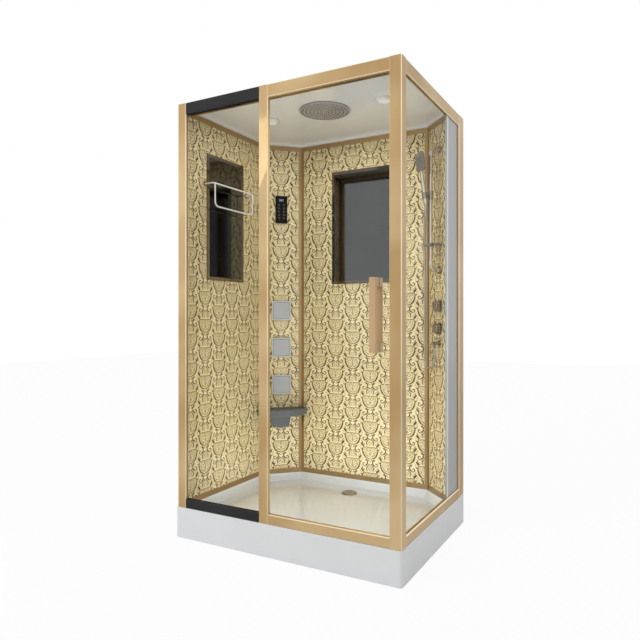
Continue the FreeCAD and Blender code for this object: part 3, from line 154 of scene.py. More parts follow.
def spread(tree, factor, low, high):
    """A factor from 0 to 1 carried over to low and high."""
    node = add(tree, "ShaderNodeMapRange")
    node.inputs["To Min"].default_value = low
    node.inputs["To Max"].default_value = high
    link(tree, factor, node.inputs["Value"])
    return node.outputs["Result"]


def moulded(name, color, rough=0.35, grain=0.0, scale=900, vary=0.06, coat=0.0, gloss=0.5):
    """Plastic or rubber: faint colour drift, uneven sheen and a fine grain."""
    mat, tree, shader = material(name)
    space = object_space(tree)
    drift = add(tree, "ShaderNodeTexNoise", Scale=7.0, Detail=3.0)
    link(tree, space, drift.inputs["Vector"])
    dark = [channel * (1 - vary) for channel in color]
    light = [min(1, channel * (1 + vary)) for channel in color]
    link(tree, ramp(tree, drift.outputs["Fac"], [(0.3, dark), (0.7, light)]),
         shader.inputs["Base Color"])
    link(tree, spread(tree, drift.outputs["Fac"], rough * 0.8, rough * 1.2),
         shader.inputs["Roughness"])
    shader.inputs["Specular IOR Level"].default_value = gloss
    shader.inputs["Coat Weight"].default_value = coat
    shader.inputs["Coat Roughness"].default_value = 0.05
    if grain:
        fine = add(tree, "ShaderNodeTexNoise", Scale=float(scale), Detail=2.0)
        link(tree, space, fine.inputs["Vector"])
        bump(tree, shader, fine.outputs["Fac"], grain, 0.0004)
    return mat


def metal(name, color, rough=0.2, brush=None, vary=0.08, strength=0.12, shine=1.0, painted_reflection_tone=None):
    """Metal; brush sets the scale of the grain on each axis, the last argument the tone of its
    darker parts, a painted reflection where it is given.
    """
    mat, tree, shader = material(name)
    shader.inputs["Metallic"].default_value = shine
    space = object_space(tree, brush or (60, 60, 60))
    lines = add(tree, "ShaderNodeTexNoise", Scale=1.0, Detail=4.0, Roughness=0.6)
    link(tree, space, lines.inputs["Vector"])
    wide_space = object_space(tree)
    wide = add(tree, "ShaderNodeTexNoise", Scale=2.2, Detail=2.0)
    link(tree, wide_space, wide.inputs["Vector"])
    # The wide drift is random tone; where a darker tone is given, it also paints uneven reflection.
    dark = painted_reflection_tone or [channel * (1 - vary) for channel in color]
    light = [min(1, channel * (1 + vary)) for channel in color]
    link(tree, ramp(tree, wide.outputs["Fac"], [(0.38, dark), (0.62, light)]),
         shader.inputs["Base Color"])
    link(tree, spread(tree, lines.outputs["Fac"], rough * 0.75, rough * 1.3),
         shader.inputs["Roughness"])
    bump(tree, shader, lines.outputs["Fac"], strength, 0.0002)
    return mat


MIRROR_FROM = 0.66
MIRROR_SHARE = 0.3


def clear_glass(name, tint):
    """Pane seen through: clear from the front, mirroring more and more at a slant."""
    mat, tree, shader = material(name)
    shader.inputs["Base Color"].default_value = (0.92, 0.96, 0.95, 1)
    shader.inputs["Roughness"].default_value = 0.02
    shader.inputs["Metallic"].default_value = 1.0
    see = add(tree, "ShaderNodeBsdfTransparent", Color=(*tint, 1))
    slant = add(tree, "ShaderNodeLayerWeight", Blend=0.5)
    past = add(tree, "ShaderNodeMath", operation="SUBTRACT")
    past.use_clamp = True
    past.inputs[1].default_value = MIRROR_FROM
    link(tree, slant.outputs["Facing"], past.inputs[0])
    share = add(tree, "ShaderNodeMath", operation="MULTIPLY")
    share.inputs[1].default_value = MIRROR_SHARE
    link(tree, past.outputs["Value"], share.inputs[0])
    mix = add(tree, "ShaderNodeMixShader")
    link(tree, share.outputs["Value"], mix.inputs["Fac"])
    link(tree, see.outputs["BSDF"], mix.inputs[1])
    link(tree, shader.outputs["BSDF"], mix.inputs[2])
    link(tree, mix.outputs["Shader"], tree.nodes["Material Output"].inputs["Surface"])
    return mat


def under_glass(shader):
    """The gloss that the glass gives to the print behind it."""
    shader.inputs["Roughness"].default_value = 0.30
    shader.inputs["Metallic"].default_value = 0.15
    shader.inputs["Coat Weight"].default_value = 0.7
    shader.inputs["Coat Roughness"].default_value = 0.03


def printed_ground(name):
    """Pale gold ground of the printed wall glass with a fine lattice under a hard gloss."""
    mat, tree, shader = material(name)
    space = object_space(tree)
    cloud = add(tree, "ShaderNodeTexNoise", Scale=3.0, Detail=4.0)
    link(tree, space, cloud.inputs["Vector"])
    fine = add(tree, "ShaderNodeTexNoise", Scale=170.0, Detail=3.0)
    link(tree, space, fine.inputs["Vector"])
    mix = add(tree, "ShaderNodeMath", operation="MULTIPLY_ADD")
    mix.inputs[1].default_value = 0.45
    link(tree, fine.outputs["Fac"], mix.inputs[0])
    half = add(tree, "ShaderNodeMath", operation="MULTIPLY")
    half.inputs[1].default_value = 0.55
    link(tree, cloud.outputs["Fac"], half.inputs[0])
    link(tree, half.outputs["Value"], mix.inputs[2])
    link(tree, ramp(tree, mix.outputs["Value"], [(0.36, (0.66, 0.51, 0.26)),
                                                (0.50, (0.79, 0.64, 0.36)),
                                                (0.66, (0.88, 0.75, 0.47))]),
         shader.inputs["Base Color"])
    under_glass(shader)
    return mat


def print_ink(name, dark, light, faint, scale, low, high):
    """Stippled ink of the printed figure, fainter in patches, under the same gloss."""
    mat, tree, shader = material(name)
    space = object_space(tree)
    fine = add(tree, "ShaderNodeTexNoise", Scale=float(scale), Detail=3.0)
    link(tree, space, fine.inputs["Vector"])
    patch = add(tree, "ShaderNodeTexNoise", Scale=4.5, Detail=1.0)
    link(tree, space, patch.inputs["Vector"])
    blend = add(tree, "ShaderNodeMix", data_type="RGBA")
    link(tree, spread(tree, patch.outputs["Fac"], -0.60, 0.80), blend.inputs["Factor"])
    link(tree, ramp(tree, fine.outputs["Fac"], [(low, dark), (high, light)]), blend.inputs[6])
    link(tree, ramp(tree, fine.outputs["Fac"], [(0.3, light), (0.7, faint)]), blend.inputs[7])
    link(tree, blend.outputs[2], shader.inputs["Base Color"])
    under_glass(shader)
    return mat


def tinted_mirror(name):
    """Mirror glass with a grey tint that drifts a little."""
    mat, tree, shader = material(name)
    shader.inputs["Metallic"].default_value = 1.0
    space = object_space(tree)
    haze = add(tree, "ShaderNodeTexNoise", Scale=5.0, Detail=2.0)
    link(tree, space, haze.inputs["Vector"])
    link(tree, ramp(tree, haze.outputs["Fac"], [(0.3, (0.124, 0.124, 0.128)),
                                               (0.7, (0.136, 0.136, 0.140))]),
         shader.inputs["Base Color"])
    shader.inputs["Roughness"].default_value = 0.05
    return mat


def lamp(name, color, strength):
    """Frosted face that glows faintly."""
    mat, tree, shader = material(name)
    space = object_space(tree)
    frost = add(tree, "ShaderNodeTexNoise", Scale=300.0, Detail=2.0)
    link(tree, space, frost.inputs["Vector"])
    link(tree, ramp(tree, frost.outputs["Fac"], [(0.3, [c * 0.95 for c in color]), (0.7, color)]),
         shader.inputs["Base Color"])
    shader.inputs["Roughness"].default_value = 0.4
    shader.inputs["Emission Color"].default_value = (*color, 1)
    shader.inputs["Emission Strength"].default_value = strength
    return mat


# By the record's slots, and after them the finishes that only the scene has
MATERIALS = {
    "tray": moulded("tray_acrylic", (0.775, 0.785, 0.80), 0.16, 0.05, 60, 0.015, 0.6),
    "base": metal("base_steel", (0.42, 0.43, 0.44), 0.45, (40, 40, 40)),
    "foot": moulded("foot_black", (0.03, 0.03, 0.032), 0.6, 0.3),
    "drain_chrome": metal("drain_chrome", (0.50, 0.46, 0.40), 0.24),
    "trap_plastic": moulded("trap_white", (0.72, 0.72, 0.70), 0.5, 0.2),
    # The gold's darker drift tones are partly a painted reflection.
    "gold_bars": metal("gold_bars", (0.62, 0.45, 0.235), 0.34, (900, 900, 6), 0.10, 0.10, 0.3,
                       (0.50, 0.32, 0.13)),
    "gold_flat": metal("gold_flat", (0.59, 0.42, 0.21), 0.34, (6, 6, 900), 0.10, 0.10, 0.3,
                       (0.49, 0.31, 0.13)),
    # A lighter gold for the slanted edge faces: a painted highlight.
    "gold_painted_highlight": metal("gold_painted_highlight", (0.88, 0.72, 0.48), 0.24, (60, 60, 60), 0.04, 0.05),
    "dark_bars": metal("dark_bars", (0.045, 0.045, 0.047), 0.38, (6, 6, 900)),
    "clear_glass": clear_glass("pane", (0.97, 0.98, 0.97)),
    "glass_edge": moulded("pane_edge", (0.56, 0.57, 0.46), 0.1, 0, 900, 0.05, 0.5),
    "grey_panel": moulded("closing_panel", (0.42, 0.42, 0.42), 0.4, 0.08, 500, 0.03, 0.2),
    "clear_strip": moulded("joint_strip", (0.66, 0.68, 0.67), 0.2, 0.05, 500, 0.04, 0.4),
    "seal": moulded("seal_soft", (0.62, 0.62, 0.60), 0.4, 0.15),
    "track": metal("track_gold", (0.50, 0.36, 0.19), 0.36, (6, 900, 900)),
    "guide_plastic": moulded("guide_grey", (0.40, 0.40, 0.38), 0.4, 0.2),
    "handle_metal": metal("handle_gold", (0.58, 0.385, 0.205), 0.30, (900, 900, 8), 0.12, 0.12,
                          0.35),
    "wheel_plastic": moulded("wheel_nylon", (0.75, 0.75, 0.72), 0.35, 0.1),
    "printed_glass": printed_ground("printed_ground"),
    "wall_profile": metal("wall_profile", (0.52, 0.36, 0.185), 0.36, (900, 900, 6)),
    "ceiling_plastic": moulded("ceiling_shell", (0.72, 0.695, 0.665), 0.22, 0.05, 60, 0.02, 0.4),
    "head_chrome": moulded("head_satin", (0.32, 0.30, 0.285), 0.35, 0.05, 700, 0.05, 0.2),
    "spray_plate": moulded("spray_plate", (0.16, 0.14, 0.12), 0.35, 0.05, 700, 0.06, 0.2),
    "paddle_satin": moulded("paddle_satin", (0.20, 0.18, 0.16), 0.25, 0.05, 700, 0.06, 0.4),
    "nozzle_rubber": moulded("nozzle_dark", (0.045, 0.045, 0.048), 0.5, 0.2),
    "lamp_ring": moulded("lamp_ring", (0.70, 0.68, 0.64), 0.2, 0.03, 500, 0.02, 0.5),
    "lamp_lens": lamp("lamp_lens", (0.80, 0.79, 0.75), 0.12),
    "panel_dark": moulded("panel_case", (0.03, 0.03, 0.032), 0.4, 0.1),
    "panel_glass": moulded("panel_glass", (0.010, 0.009, 0.008), 0.30, 0, 900, 0.1, 0.0, 0.08),
    "jet_rim": metal("jet_rim", (0.70, 0.70, 0.71), 0.22),
    "jet_face": metal("jet_face", (0.58, 0.58, 0.60), 0.35),
    "jet_body": moulded("jet_body", (0.68, 0.68, 0.66), 0.4, 0.1),
    "seat_plastic": moulded("seat_dark", (0.10, 0.105, 0.11), 0.32, 0.12, 700, 0.08, 0.3),
    "bucket_plastic": moulded("bucket_grey", (0.08, 0.083, 0.088), 0.35, 0.12, 700, 0.06, 0.3),
    "mirror": tinted_mirror("mirror_tint"),
    "rack_chrome": moulded("rack_satin", (0.68, 0.65, 0.60), 0.18, 0, 900, 0.03, 0.8),
    "rail_chrome": metal("rail_chrome", (0.68, 0.62, 0.58), 0.14),
    "fitting_chrome": metal("fitting_chrome", (0.42, 0.38, 0.35), 0.20),
    "shower_plastic": metal("hand_shower_shell", (0.74, 0.71, 0.67), 0.14),
    "dish_plastic": moulded("dish_grey", (0.20, 0.19, 0.17), 0.2, 0.05, 500, 0.05, 0.6),
    "valve_brass": metal("valve_brass", (0.55, 0.38, 0.16), 0.35),
    "hose_metal": metal("hose_silver", (0.55, 0.55, 0.56), 0.34),
    "pipe_plastic": moulded("pipe_dark", (0.05, 0.05, 0.052), 0.45, 0.1),
    "ink_dark": print_ink("ink_dark", (0.062, 0.034, 0.007), (0.29, 0.19, 0.065),
                          (0.48, 0.35, 0.15), 130, 0.54, 0.66),
    "ink_mid": print_ink("ink_mid", (0.50, 0.37, 0.16), (0.76, 0.61, 0.33), (0.78, 0.63, 0.35),
                         150, 0.42, 0.55),
    "ink_pale": print_ink("ink_pale", (0.80, 0.66, 0.39), (0.92, 0.80, 0.54), (0.88, 0.75, 0.48),
                          160, 0.35, 0.65),
    "mirror_band": moulded("mirror_band", (0.055, 0.036, 0.022), 0.15, 0, 900, 0.1, 0.8),
    "mirror_bevel": metal("mirror_bevel", (0.25, 0.22, 0.19), 0.08, None, 0.05, 0.0),
    "display": lamp("display", (0.50, 0.66, 0.80), 0.40),
    "icon": moulded("icon", (0.20, 0.21, 0.23), 0.3),
    # Near-black discs for the jets' holes: painted shade.
    "jet_hole": moulded("jet_hole", (0.03, 0.03, 0.033), 0.5),
    "collar": metal("collar", (0.62, 0.60, 0.56), 0.25),
}


def paint_nodes():
    """Each CAD node gets the finish of its slot."""
    for part in frame["record"]["subparts"]:
        piece = nodes[part["node"]]
        piece.data.materials.clear()
        piece.data.materials.append(MATERIALS[part["material_slot"]])
    nodes["spray_face"].data.materials[0] = MATERIALS["spray_plate"]


# Mesh helpers
def show(thing):
    bpy.context.scene.collection.objects.link(thing)
    return thing


def made(name, bm):
    """An object that isn't in the scene yet, from a mesh in the making."""
    mesh = bpy.data.meshes.new(name)
    bm.to_mesh(mesh)
    bm.free()
    return bpy.data.objects.new(name, mesh)


def taken_up(mesh):
    """A mesh to work on from a finished one, which goes."""
    bm = bmesh.new()
    bm.from_mesh(mesh)
    bpy.data.meshes.remove(mesh)
    return bm


def welded(node, whole_faces=True):
    """A copy of a node's mesh with its doubles merged and its flat faces made whole."""
    bm = bmesh.new()
    bm.from_mesh(nodes[node].data)
    bmesh.ops.remove_doubles(bm, verts=bm.verts, dist=WELD)
    if whole_faces:
        bmesh.ops.dissolve_limit(bm, angle_limit=math.radians(FLAT_DEGREES), verts=bm.verts,
                                 edges=bm.edges)
    return bm


def mesh_piece(name, bm, slot, body, *replaced, record_slot=None):
    """A piece of the object that rides on a body and may stand for nodes."""
    piece = show(made(name, bm))
    piece.data.materials.append(MATERIALS[slot])
    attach(piece, body)
    if replaced:
        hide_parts(*replaced)
    return piece


EASED_NORMAL = 0.93


def eased(node, slot, body, width, segments=2, line=None):
    """The CAD piece with its sharp edges eased so that they catch the light; line is the finish of
    the eased edges where it differs, a lighter tone that paints a highlight."""
    bm = welded(node)
    sharp = [edge for edge in bm.edges if len(edge.link_faces) == 2
             and edge.calc_face_angle(0) > math.radians(SHARP_DEGREES)]
    bmesh.ops.bevel(bm, geom=sharp, offset=width * MM, segments=segments, profile=0.5,
                    affect="EDGES", clamp_overlap=True)
    for face in bm.faces:
        face.smooth = True
        # Slanted faces take the second finish, which for gold is a painted highlight.
        if line and max(abs(c) for c in face.normal) < EASED_NORMAL:
            face.material_index = 1
    piece = mesh_piece(node + "_eased", bm, slot, body, node)
    if line:
        piece.data.materials.append(MATERIALS[line])
    weighted = piece.modifiers.new("normals", "WEIGHTED_NORMAL")
    weighted.keep_sharp = True
    return piece


PADDLE_RIM = 12


def dark_paddle(shower):
    """The hand shower's square head, above its bright grip, in the darker satin."""
    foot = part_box("spray_face")[0][2] - PADDLE_RIM * MM
    shower.data.materials.append(MATERIALS["paddle_satin"])
    for face in shower.data.polygons:
        if face.center.z > foot:
            face.material_index = 1


def write_sizes():
    """Brings the scene up to date."""
    bpy.context.view_layer.update()


# Stage
def any_ray(tree, *kinds):
    """1 for rays of these kinds and 0 for others."""
    path = add(tree, "ShaderNodeLightPath")
    shown = path.outputs[kinds[0]]
    for kind in kinds[1:]:
        either = add(tree, "ShaderNodeMath", operation="MAXIMUM")
        link(tree, shown, either.inputs[0])
        link(tree, path.outputs[kind], either.inputs[1])
        shown = either.outputs["Value"]
    return shown


def mixed(tree, factor, first, second, target):
    mix = add(tree, "ShaderNodeMixShader")
    link(tree, factor, mix.inputs["Fac"])
    link(tree, first, mix.inputs[1])
    link(tree, second, mix.inputs[2])
    link(tree, mix.outputs["Shader"], target.inputs["Surface"])


FLOOR_SIZE = 12
FLOOR_DROP = 0.5
FLOOR_WHITE = 0.93
WORLD_LIGHT = 0.66


def pale_floor():
    """White to the camera but for the object's shadow."""
    mat, tree, shader = material("studio_floor")
    shader.inputs["Base Color"].default_value = (0.92, 0.92, 0.92, 1)
    shader.inputs["Roughness"].default_value = 0.6
    glow = add(tree, "ShaderNodeEmission", Color=(1, 1, 1, 1), Strength=1.0)
    part = add(tree, "ShaderNodeMath", operation="MULTIPLY")
    part.inputs[1].default_value = FLOOR_WHITE
    link(tree, any_ray(tree, "Is Camera Ray", "Is Transmission Ray"), part.inputs[0])
    mixed(tree, part.outputs["Value"], shader.outputs["BSDF"], glow.outputs["Emission"],
          tree.nodes["Material Output"])
    bm = bmesh.new()
    bmesh.ops.create_grid(bm, x_segments=1, y_segments=1, size=FLOOR_SIZE)
    floor = show(made("floor", bm))
    floor.data.materials.append(mat)
    floor.location.z = -FLOOR_DROP * MM


def white_world():
    world = bpy.data.worlds.new("studio")
    bpy.context.scene.world = world
    world.use_nodes = True
    tree = world.node_tree
    back = tree.nodes["Background"]
    back.inputs["Color"].default_value = (1, 1, 1, 1)
    back.inputs["Strength"].default_value = WORLD_LIGHT
    white = add(tree, "ShaderNodeBackground", Color=(1, 1, 1, 1), Strength=1.0)
    shown = any_ray(tree, "Is Camera Ray", "Is Transmission Ray", "Is Glossy Ray")
    mixed(tree, shown, back.outputs["Background"], white.outputs["Background"],
          tree.nodes["World Output"])


def area_light(name, place, aim, size, power):
    data = bpy.data.lights.new(name, "AREA")
    data.shape = "RECTANGLE"
    data.size, data.size_y = size
    data.energy = power
    light = bpy.data.objects.new(name, data)
    light.location = place
    light.rotation_euler = (Vector(aim) - Vector(place)).to_track_quat("-Z", "Y").to_euler()
    light.visible_glossy = False
    return show(light)


def lights():
    """A soft key from the front left, and three lamps that stand for the cabin's own light."""
    area_light("key", (-2.4, -4.0, 3.0), (0, 0, 1.0), (2.4, 2.4), 66)
    for name, place, aim, size, power in (
            ("inner_top", (0.0, -0.05, 2.09), (0.0, -0.05, 0), (0.7, 0.5), 3),
            ("inner_front", (0.10, -0.40, 1.10), (0.02, 0.40, 1.14), (0.9, 1.8), 4.8),
            ("inner_low", (0.0, 0.0, 0.13), (0.0, 0.0, 2.0), (0.9, 0.55), 4.4)):
        inside = area_light(name, place, aim, size, power)
        inside.visible_camera = False
        inside.data.color = (0.95, 0.98, 1.0)


def camera():
    """At the photograph's place: level, with its middle set by a small shift."""
    data = bpy.data.cameras.new("camera")
    data.sensor_width = SENSOR_MM
    data.lens = FOCAL_PX / FRAME_PX * SENSOR_MM
    data.shift_x = (FRAME_PX / 2 - CENTRE_PX[0]) / FRAME_PX
    data.shift_y = (CENTRE_PX[1] - FRAME_PX / 2) / FRAME_PX
    eye = show(bpy.data.objects.new("camera", data))
    eye.location = (1.471, -2.668, 1.087)
    eye.rotation_euler = (math.radians(90), 0, math.radians(28.65))
    bpy.context.scene.camera = eye


# Printed figure: half of an urn motif, mirrored, in mm about the urn's middle
FIGURE_PITCH = 112.0
FIGURE_RISE = 147.0
FIGURE_SEED = 5
FIGURE_REACH = 80
SPRIGS = 26
INK_LIFTS = (("ink_mid", 0.10), ("ink_pale", 0.18), ("ink_dark", 0.50))
INK_STEP = 0.004


def curve(points, steps=10):
    """Smooth line through the points."""
    out = []
    count = len(points)
    for i in range(count - 1):
        before, start = points[max(i - 1, 0)], points[i]
        end, after = points[i + 1], points[min(i + 2, count - 1)]
        for step in range(steps):
            t = step / steps
            out.append(tuple(
                0.5 * (2 * start[k] + (end[k] - before[k]) * t
                       + (2 * before[k] - 5 * start[k] + 4 * end[k] - after[k]) * t * t
                       + (3 * start[k] - before[k] - 3 * end[k] + after[k]) * t ** 3)
                for k in (0, 1)))
    out.append(points[-1])
    return out


def stroke(points, widths, steps=8):
    """A ribbon along a smooth line, as wide as the widths given evenly along it."""
    line = curve(points, steps)
    left, right = [], []
    for i, (x, y) in enumerate(line):
        ahead = line[min(i + 1, len(line) - 1)]
        behind = line[max(i - 1, 0)]
        dx, dy = ahead[0] - behind[0], ahead[1] - behind[1]
        size = math.hypot(dx, dy) or 1
        place = i / (len(line) - 1) * (len(widths) - 1)
        low = min(int(place), len(widths) - 2)
        half = (widths[low] + (widths[low + 1] - widths[low]) * (place - low)) / 2
        left.append((x - dy / size * half, y + dx / size * half))
        right.append((x + dy / size * half, y - dx / size * half))
    return [[left[i], right[i], right[i + 1], left[i + 1]] for i in range(len(line) - 1)]


def leaf(x, y, angle, length, width, bend=0.25, steps=7):
    """A pointed leaf from (x, y) towards the angle, its middle bowed to one side."""
    way = (math.cos(math.radians(angle)), math.sin(math.radians(angle)))
    side = (-way[1], way[0])
    points, widths = [], []
    for i in range(steps):
        t = i / (steps - 1)
        bow = bend * length * math.sin(math.pi * t) * 0.6
        points.append((x + way[0] * length * t + side[0] * bow,
                       y + way[1] * length * t + side[1] * bow))
        widths.append(max(0.3, width * math.sin(math.pi * t ** 0.75)))
    return stroke(points, widths, 3)


def dot(x, y, radius, count=10):
    """A filled round shape with a few sides."""
    return [[(x + radius * math.cos(2 * math.pi * i / count),
              y + radius * math.sin(2 * math.pi * i / count)) for i in range(count)]]


def outlined_leaf(x, y, angle, length, width, bend=0.25):
    """A pale leaf with a dark line down its outer side."""
    body = leaf(x, y, angle, length, width, bend, 5)
    edge = [shape[0] for shape in body][::2] + [body[-1][3]]
    return body, stroke(edge, [0.6, 1.9, 2.1, 1.6, 0.5], 2)


def figure():
    """Strokes of one urn, its crown and bud by ink, in mm about the urn's middle."""
    inks = {"ink_mid": [], "ink_pale": [], "ink_dark": []}

    def put(ink, shapes, both=True):
        inks["ink_" + ink].append(shapes)
        if both:
            inks["ink_" + ink].append([[(-x, y) for x, y in reversed(s)] for s in shapes])

    def middle(ink, half):
        put(ink, [half + [(-x, y) for x, y in reversed(half) if x > 0]], False)

    # the bowl: middle tone, a broad uneven dark side, a palmette inside and a beaded edge
    scatter = random.Random(FIGURE_SEED)
    middle("mid", [(0, -42), (20, -38), (35, -26), (43, -6), (44, 12), (40, 22), (0, 24)])
    put("dark", stroke([(0, -46), (20, -42), (36, -30), (46, -8), (47, 10), (42, 22)],
                       [3.0, 5.0, 9.0, 8.0, 5.0, 2.0], 4))
    put("dark", stroke([(4, -33), (18, -28), (27, -18)], [0.8, 2.6, 0.8], 4))
    for turn, size, wide in ((72, 45, 9), (48, 42, 9), (24, 35, 8)):
        fill, edge = outlined_leaf(1.5, -26, turn, size, wide, 0.12)
        put("pale", fill)
        put("dark", edge)
    for turn in (84, 60, 36, 12):
        for far in (30, 41):
            x = far * math.cos(math.radians(turn)) + scatter.uniform(-2, 2)
            y = -26 + far * math.sin(math.radians(turn)) + scatter.uniform(-2, 2)
            put("dark", dot(x, y, scatter.uniform(1.3, 2.3), 5))
    for step in range(6):
        turn = math.radians(-78 + step * 16)
        put("pale", dot(38 * math.cos(turn), -1 + 37 * math.sin(turn), 2.2, 5))
    # the rim with its scallops, and a curl and a leaf at each end
    put("dark", stroke([(0, 23), (11, 20), (22, 24), (33, 20), (45, 26)],
                       [1.6, 3.6, 2.2, 4.0, 1.6], 3))
    put("pale", stroke([(3, 28), (20, 29), (34, 28)], [2.0, 3.4, 1.0], 3))
    put("dark", leaf(43, 22, 58, 22, 12, 0.35, 5))
    put("dark", leaf(48, 10, 24, 13, 7, -0.3, 4))
    # the crown over the rim
    middle("mid", [(0, 30), (17, 31), (22, 40), (19, 52), (9, 62), (0, 65)])
    put("dark", stroke([(18, 30), (24, 40), (21, 53), (11, 63), (1, 67)],
                       [1.4, 4.0, 4.6, 3.6, 1.2], 3))
    for x, y in ((0, 37), (10, 37), (5, 45), (15, 46), (0, 53), (9, 55)):
        put("pale", dot(x, y, scatter.uniform(2.2, 3.4), 6), x > 0)
        put("dark", dot(x + 5, y - scatter.uniform(-3, 4), scatter.uniform(1.6, 2.8), 5))
    for x, y, turn, size, wide in ((25, 32, 62, 27, 10), (33, 31, 36, 20, 8)):
        fill, edge = outlined_leaf(x, y, turn, size, wide)
        put("pale", fill)
        put("dark", edge)
    # the bud that links one urn to the next
    middle("pale", [(0, 72), (7, 74), (10, 81), (7, 89), (0, 99)])
    put("dark", stroke([(2, 70), (13, 71), (17, 80), (14, 89), (5, 97)],
                       [1.6, 5.0, 7.0, 4.6, 1.0], 3))
    put("dark", leaf(17, 86, 34, 20, 9, 0.35, 5))
    put("dark", leaf(16, 75, -32, 24, 9, -0.3, 5))
    put("pale", leaf(22, 80, 4, 25, 9, 0.25, 5))
    # scrolls between the columns
    put("dark", stroke([(31, 58), (40, 60), (46, 68), (42, 77), (34, 76), (33, 70)],
                       [1.0, 4.0, 5.6, 4.4, 2.6, 1.0], 3))
    put("mid", stroke([(49, 30), (44, 42), (47, 52), (55, 56)], [6, 7, 5, 2], 3))
    put("dark", stroke([(56, 34), (50, 43), (49, 51), (55, 58)], [4.4, 4.0, 3.4, 1.0], 3))
    put("dark", leaf(52, -28, -64, 22, 8, 0.3, 5))
    put("mid", leaf(47, -38, -80, 24, 9, 0.2, 5))
    put("pale", dot(38, 50, 3.2, 6))
    put("dark", dot(27, -58, 2.6, 6))
    # sprigs strewn over the open ground
    for number in range(SPRIGS):
        x, y = scatter.uniform(4, 54), scatter.uniform(-72, 72)
        if (x > 50 or y < -46 or y > 66) and math.hypot(x, y - 84) > 24:
            put("dark" if number % 3 else "mid",
                leaf(x, y, scatter.uniform(0, 360), scatter.uniform(7, 12), 3.6, 0.3, 4))
    return inks


def flat_shapes(name, strokes, lift, step=0.0):
    """A flat mesh of the strokes in its own XY plane, metres, each a step over the last."""
    bm = bmesh.new()
    for number, shapes in enumerate(strokes):
        for shape in shapes:
            height = (lift + number * step) * MM
            face = bm.faces.new([bm.verts.new((x * MM, y * MM, height)) for x, y in shape])
            face.normal_update()
            if face.normal.z < 0:
                face.normal_flip()
    return made(name, bm)


def repeat_tree():
    """Copies a piece to every point of the mesh the modifier sits on."""
    tree = bpy.data.node_groups.new("repeat_on_points", "GeometryNodeTree")
    face = tree.interface
    face.new_socket("Points", in_out="INPUT", socket_type="NodeSocketGeometry")
    face.new_socket("Piece", in_out="INPUT", socket_type="NodeSocketObject")
    face.new_socket("Size", in_out="INPUT", socket_type="NodeSocketFloat")
    face.new_socket("Finish", in_out="INPUT", socket_type="NodeSocketMaterial")
    face.new_socket("Copies", in_out="OUTPUT", socket_type="NodeSocketGeometry")
    given = tree.nodes.new("NodeGroupInput")
    result = tree.nodes.new("NodeGroupOutput")
    info = tree.nodes.new("GeometryNodeObjectInfo")
    copies = tree.nodes.new("GeometryNodeInstanceOnPoints")
    real = tree.nodes.new("GeometryNodeRealizeInstances")
    finish = tree.nodes.new("GeometryNodeSetMaterial")
    tree.links.new(given.outputs["Points"], copies.inputs["Points"])
    tree.links.new(given.outputs["Piece"], info.inputs["Object"])
    tree.links.new(info.outputs["Geometry"], copies.inputs["Instance"])
    tree.links.new(given.outputs["Size"], copies.inputs["Scale"])
    tree.links.new(copies.outputs["Instances"], real.inputs["Geometry"])
    tree.links.new(real.outputs["Geometry"], finish.inputs["Geometry"])
    tree.links.new(given.outputs["Finish"], finish.inputs["Material"])
    tree.links.new(finish.outputs["Geometry"], result.inputs["Copies"])
    return tree


REPEAT = repeat_tree()


def repeated(name, points, piece, slot):
    """A plain mesh of the piece copied to the points."""
    mesh = bpy.data.meshes.new(name + "_points")
    mesh.from_pydata([tuple(point) for point in points], [], [])
    holder = show(bpy.data.objects.new(name + "_points", mesh))
    modifier = holder.modifiers.new("repeat", "NODES")
    modifier.node_group = REPEAT
    ids = {item.name: item.identifier for item in REPEAT.interface.items_tree
           if item.in_out == "INPUT"}
    modifier[ids["Piece"]] = piece
    modifier[ids["Size"]] = 1.0
    modifier[ids["Finish"]] = MATERIALS[slot]
    graph = bpy.context.evaluated_depsgraph_get()
    result = bpy.data.meshes.new_from_object(holder.evaluated_get(graph))
    bpy.data.objects.remove(holder)
    return result


def printed_wall(name, wall, length, shift):
    """The figure repeated over one wall and trimmed to the glass that shows."""
    shapes = figure()
    tall = PRINT_HIGH - PRINT_LOW
    half = length / 2
    points = []
    first = -math.ceil((half + FIGURE_REACH) / FIGURE_PITCH)
    for col in range(first, -first + 1):
        drop = FIGURE_RISE / 2 if col % 2 else 0
        for row in range(-1, int(tall / FIGURE_RISE) + 3):
            points.append((col * FIGURE_PITCH * MM + shift * MM,
                           (row * FIGURE_RISE + drop) * MM, 0))
    place = wall.matrix(0, 0, PRINT_LOW)
    for ink, lift in INK_LIFTS:
        piece = flat_shapes(name + "_" + ink, shapes[ink], lift, INK_STEP)
        bm = taken_up(repeated(name + "_" + ink, points, piece, ink))
        for spot, out in (((-half * MM, 0, 0), (-1, 0, 0)), ((half * MM, 0, 0), (1, 0, 0)),
                          ((0, 0, 0), (0, -1, 0)), ((0, tall * MM, 0), (0, 1, 0))):
            bmesh.ops.bisect_plane(bm, geom=bm.verts[:] + bm.edges[:] + bm.faces[:],
                                   plane_co=spot, plane_no=out, clear_outer=True)
        bmesh.ops.transform(bm, matrix=place, verts=bm.verts)
        mesh_piece("%s_%s" % (name, ink), bm, ink, "cabin", record_slot="printed_glass")


def print_walls():
    """Each wall's print: its glass less what the corner profiles hide, and where an urn's middle
    stands on it."""
    for name, wall, glass, hidden, shift in (
            ("left_print", LEFT, 685, 36, 40),
            ("left_column_print", LEFT_COLUMN, 237.6, 36, -9),
            ("back_print", BACK, 806, 36, -167),
            ("right_column_print", RIGHT_COLUMN, 237.6, 49, 6)):
        printed_wall(name, wall, glass - hidden, shift)


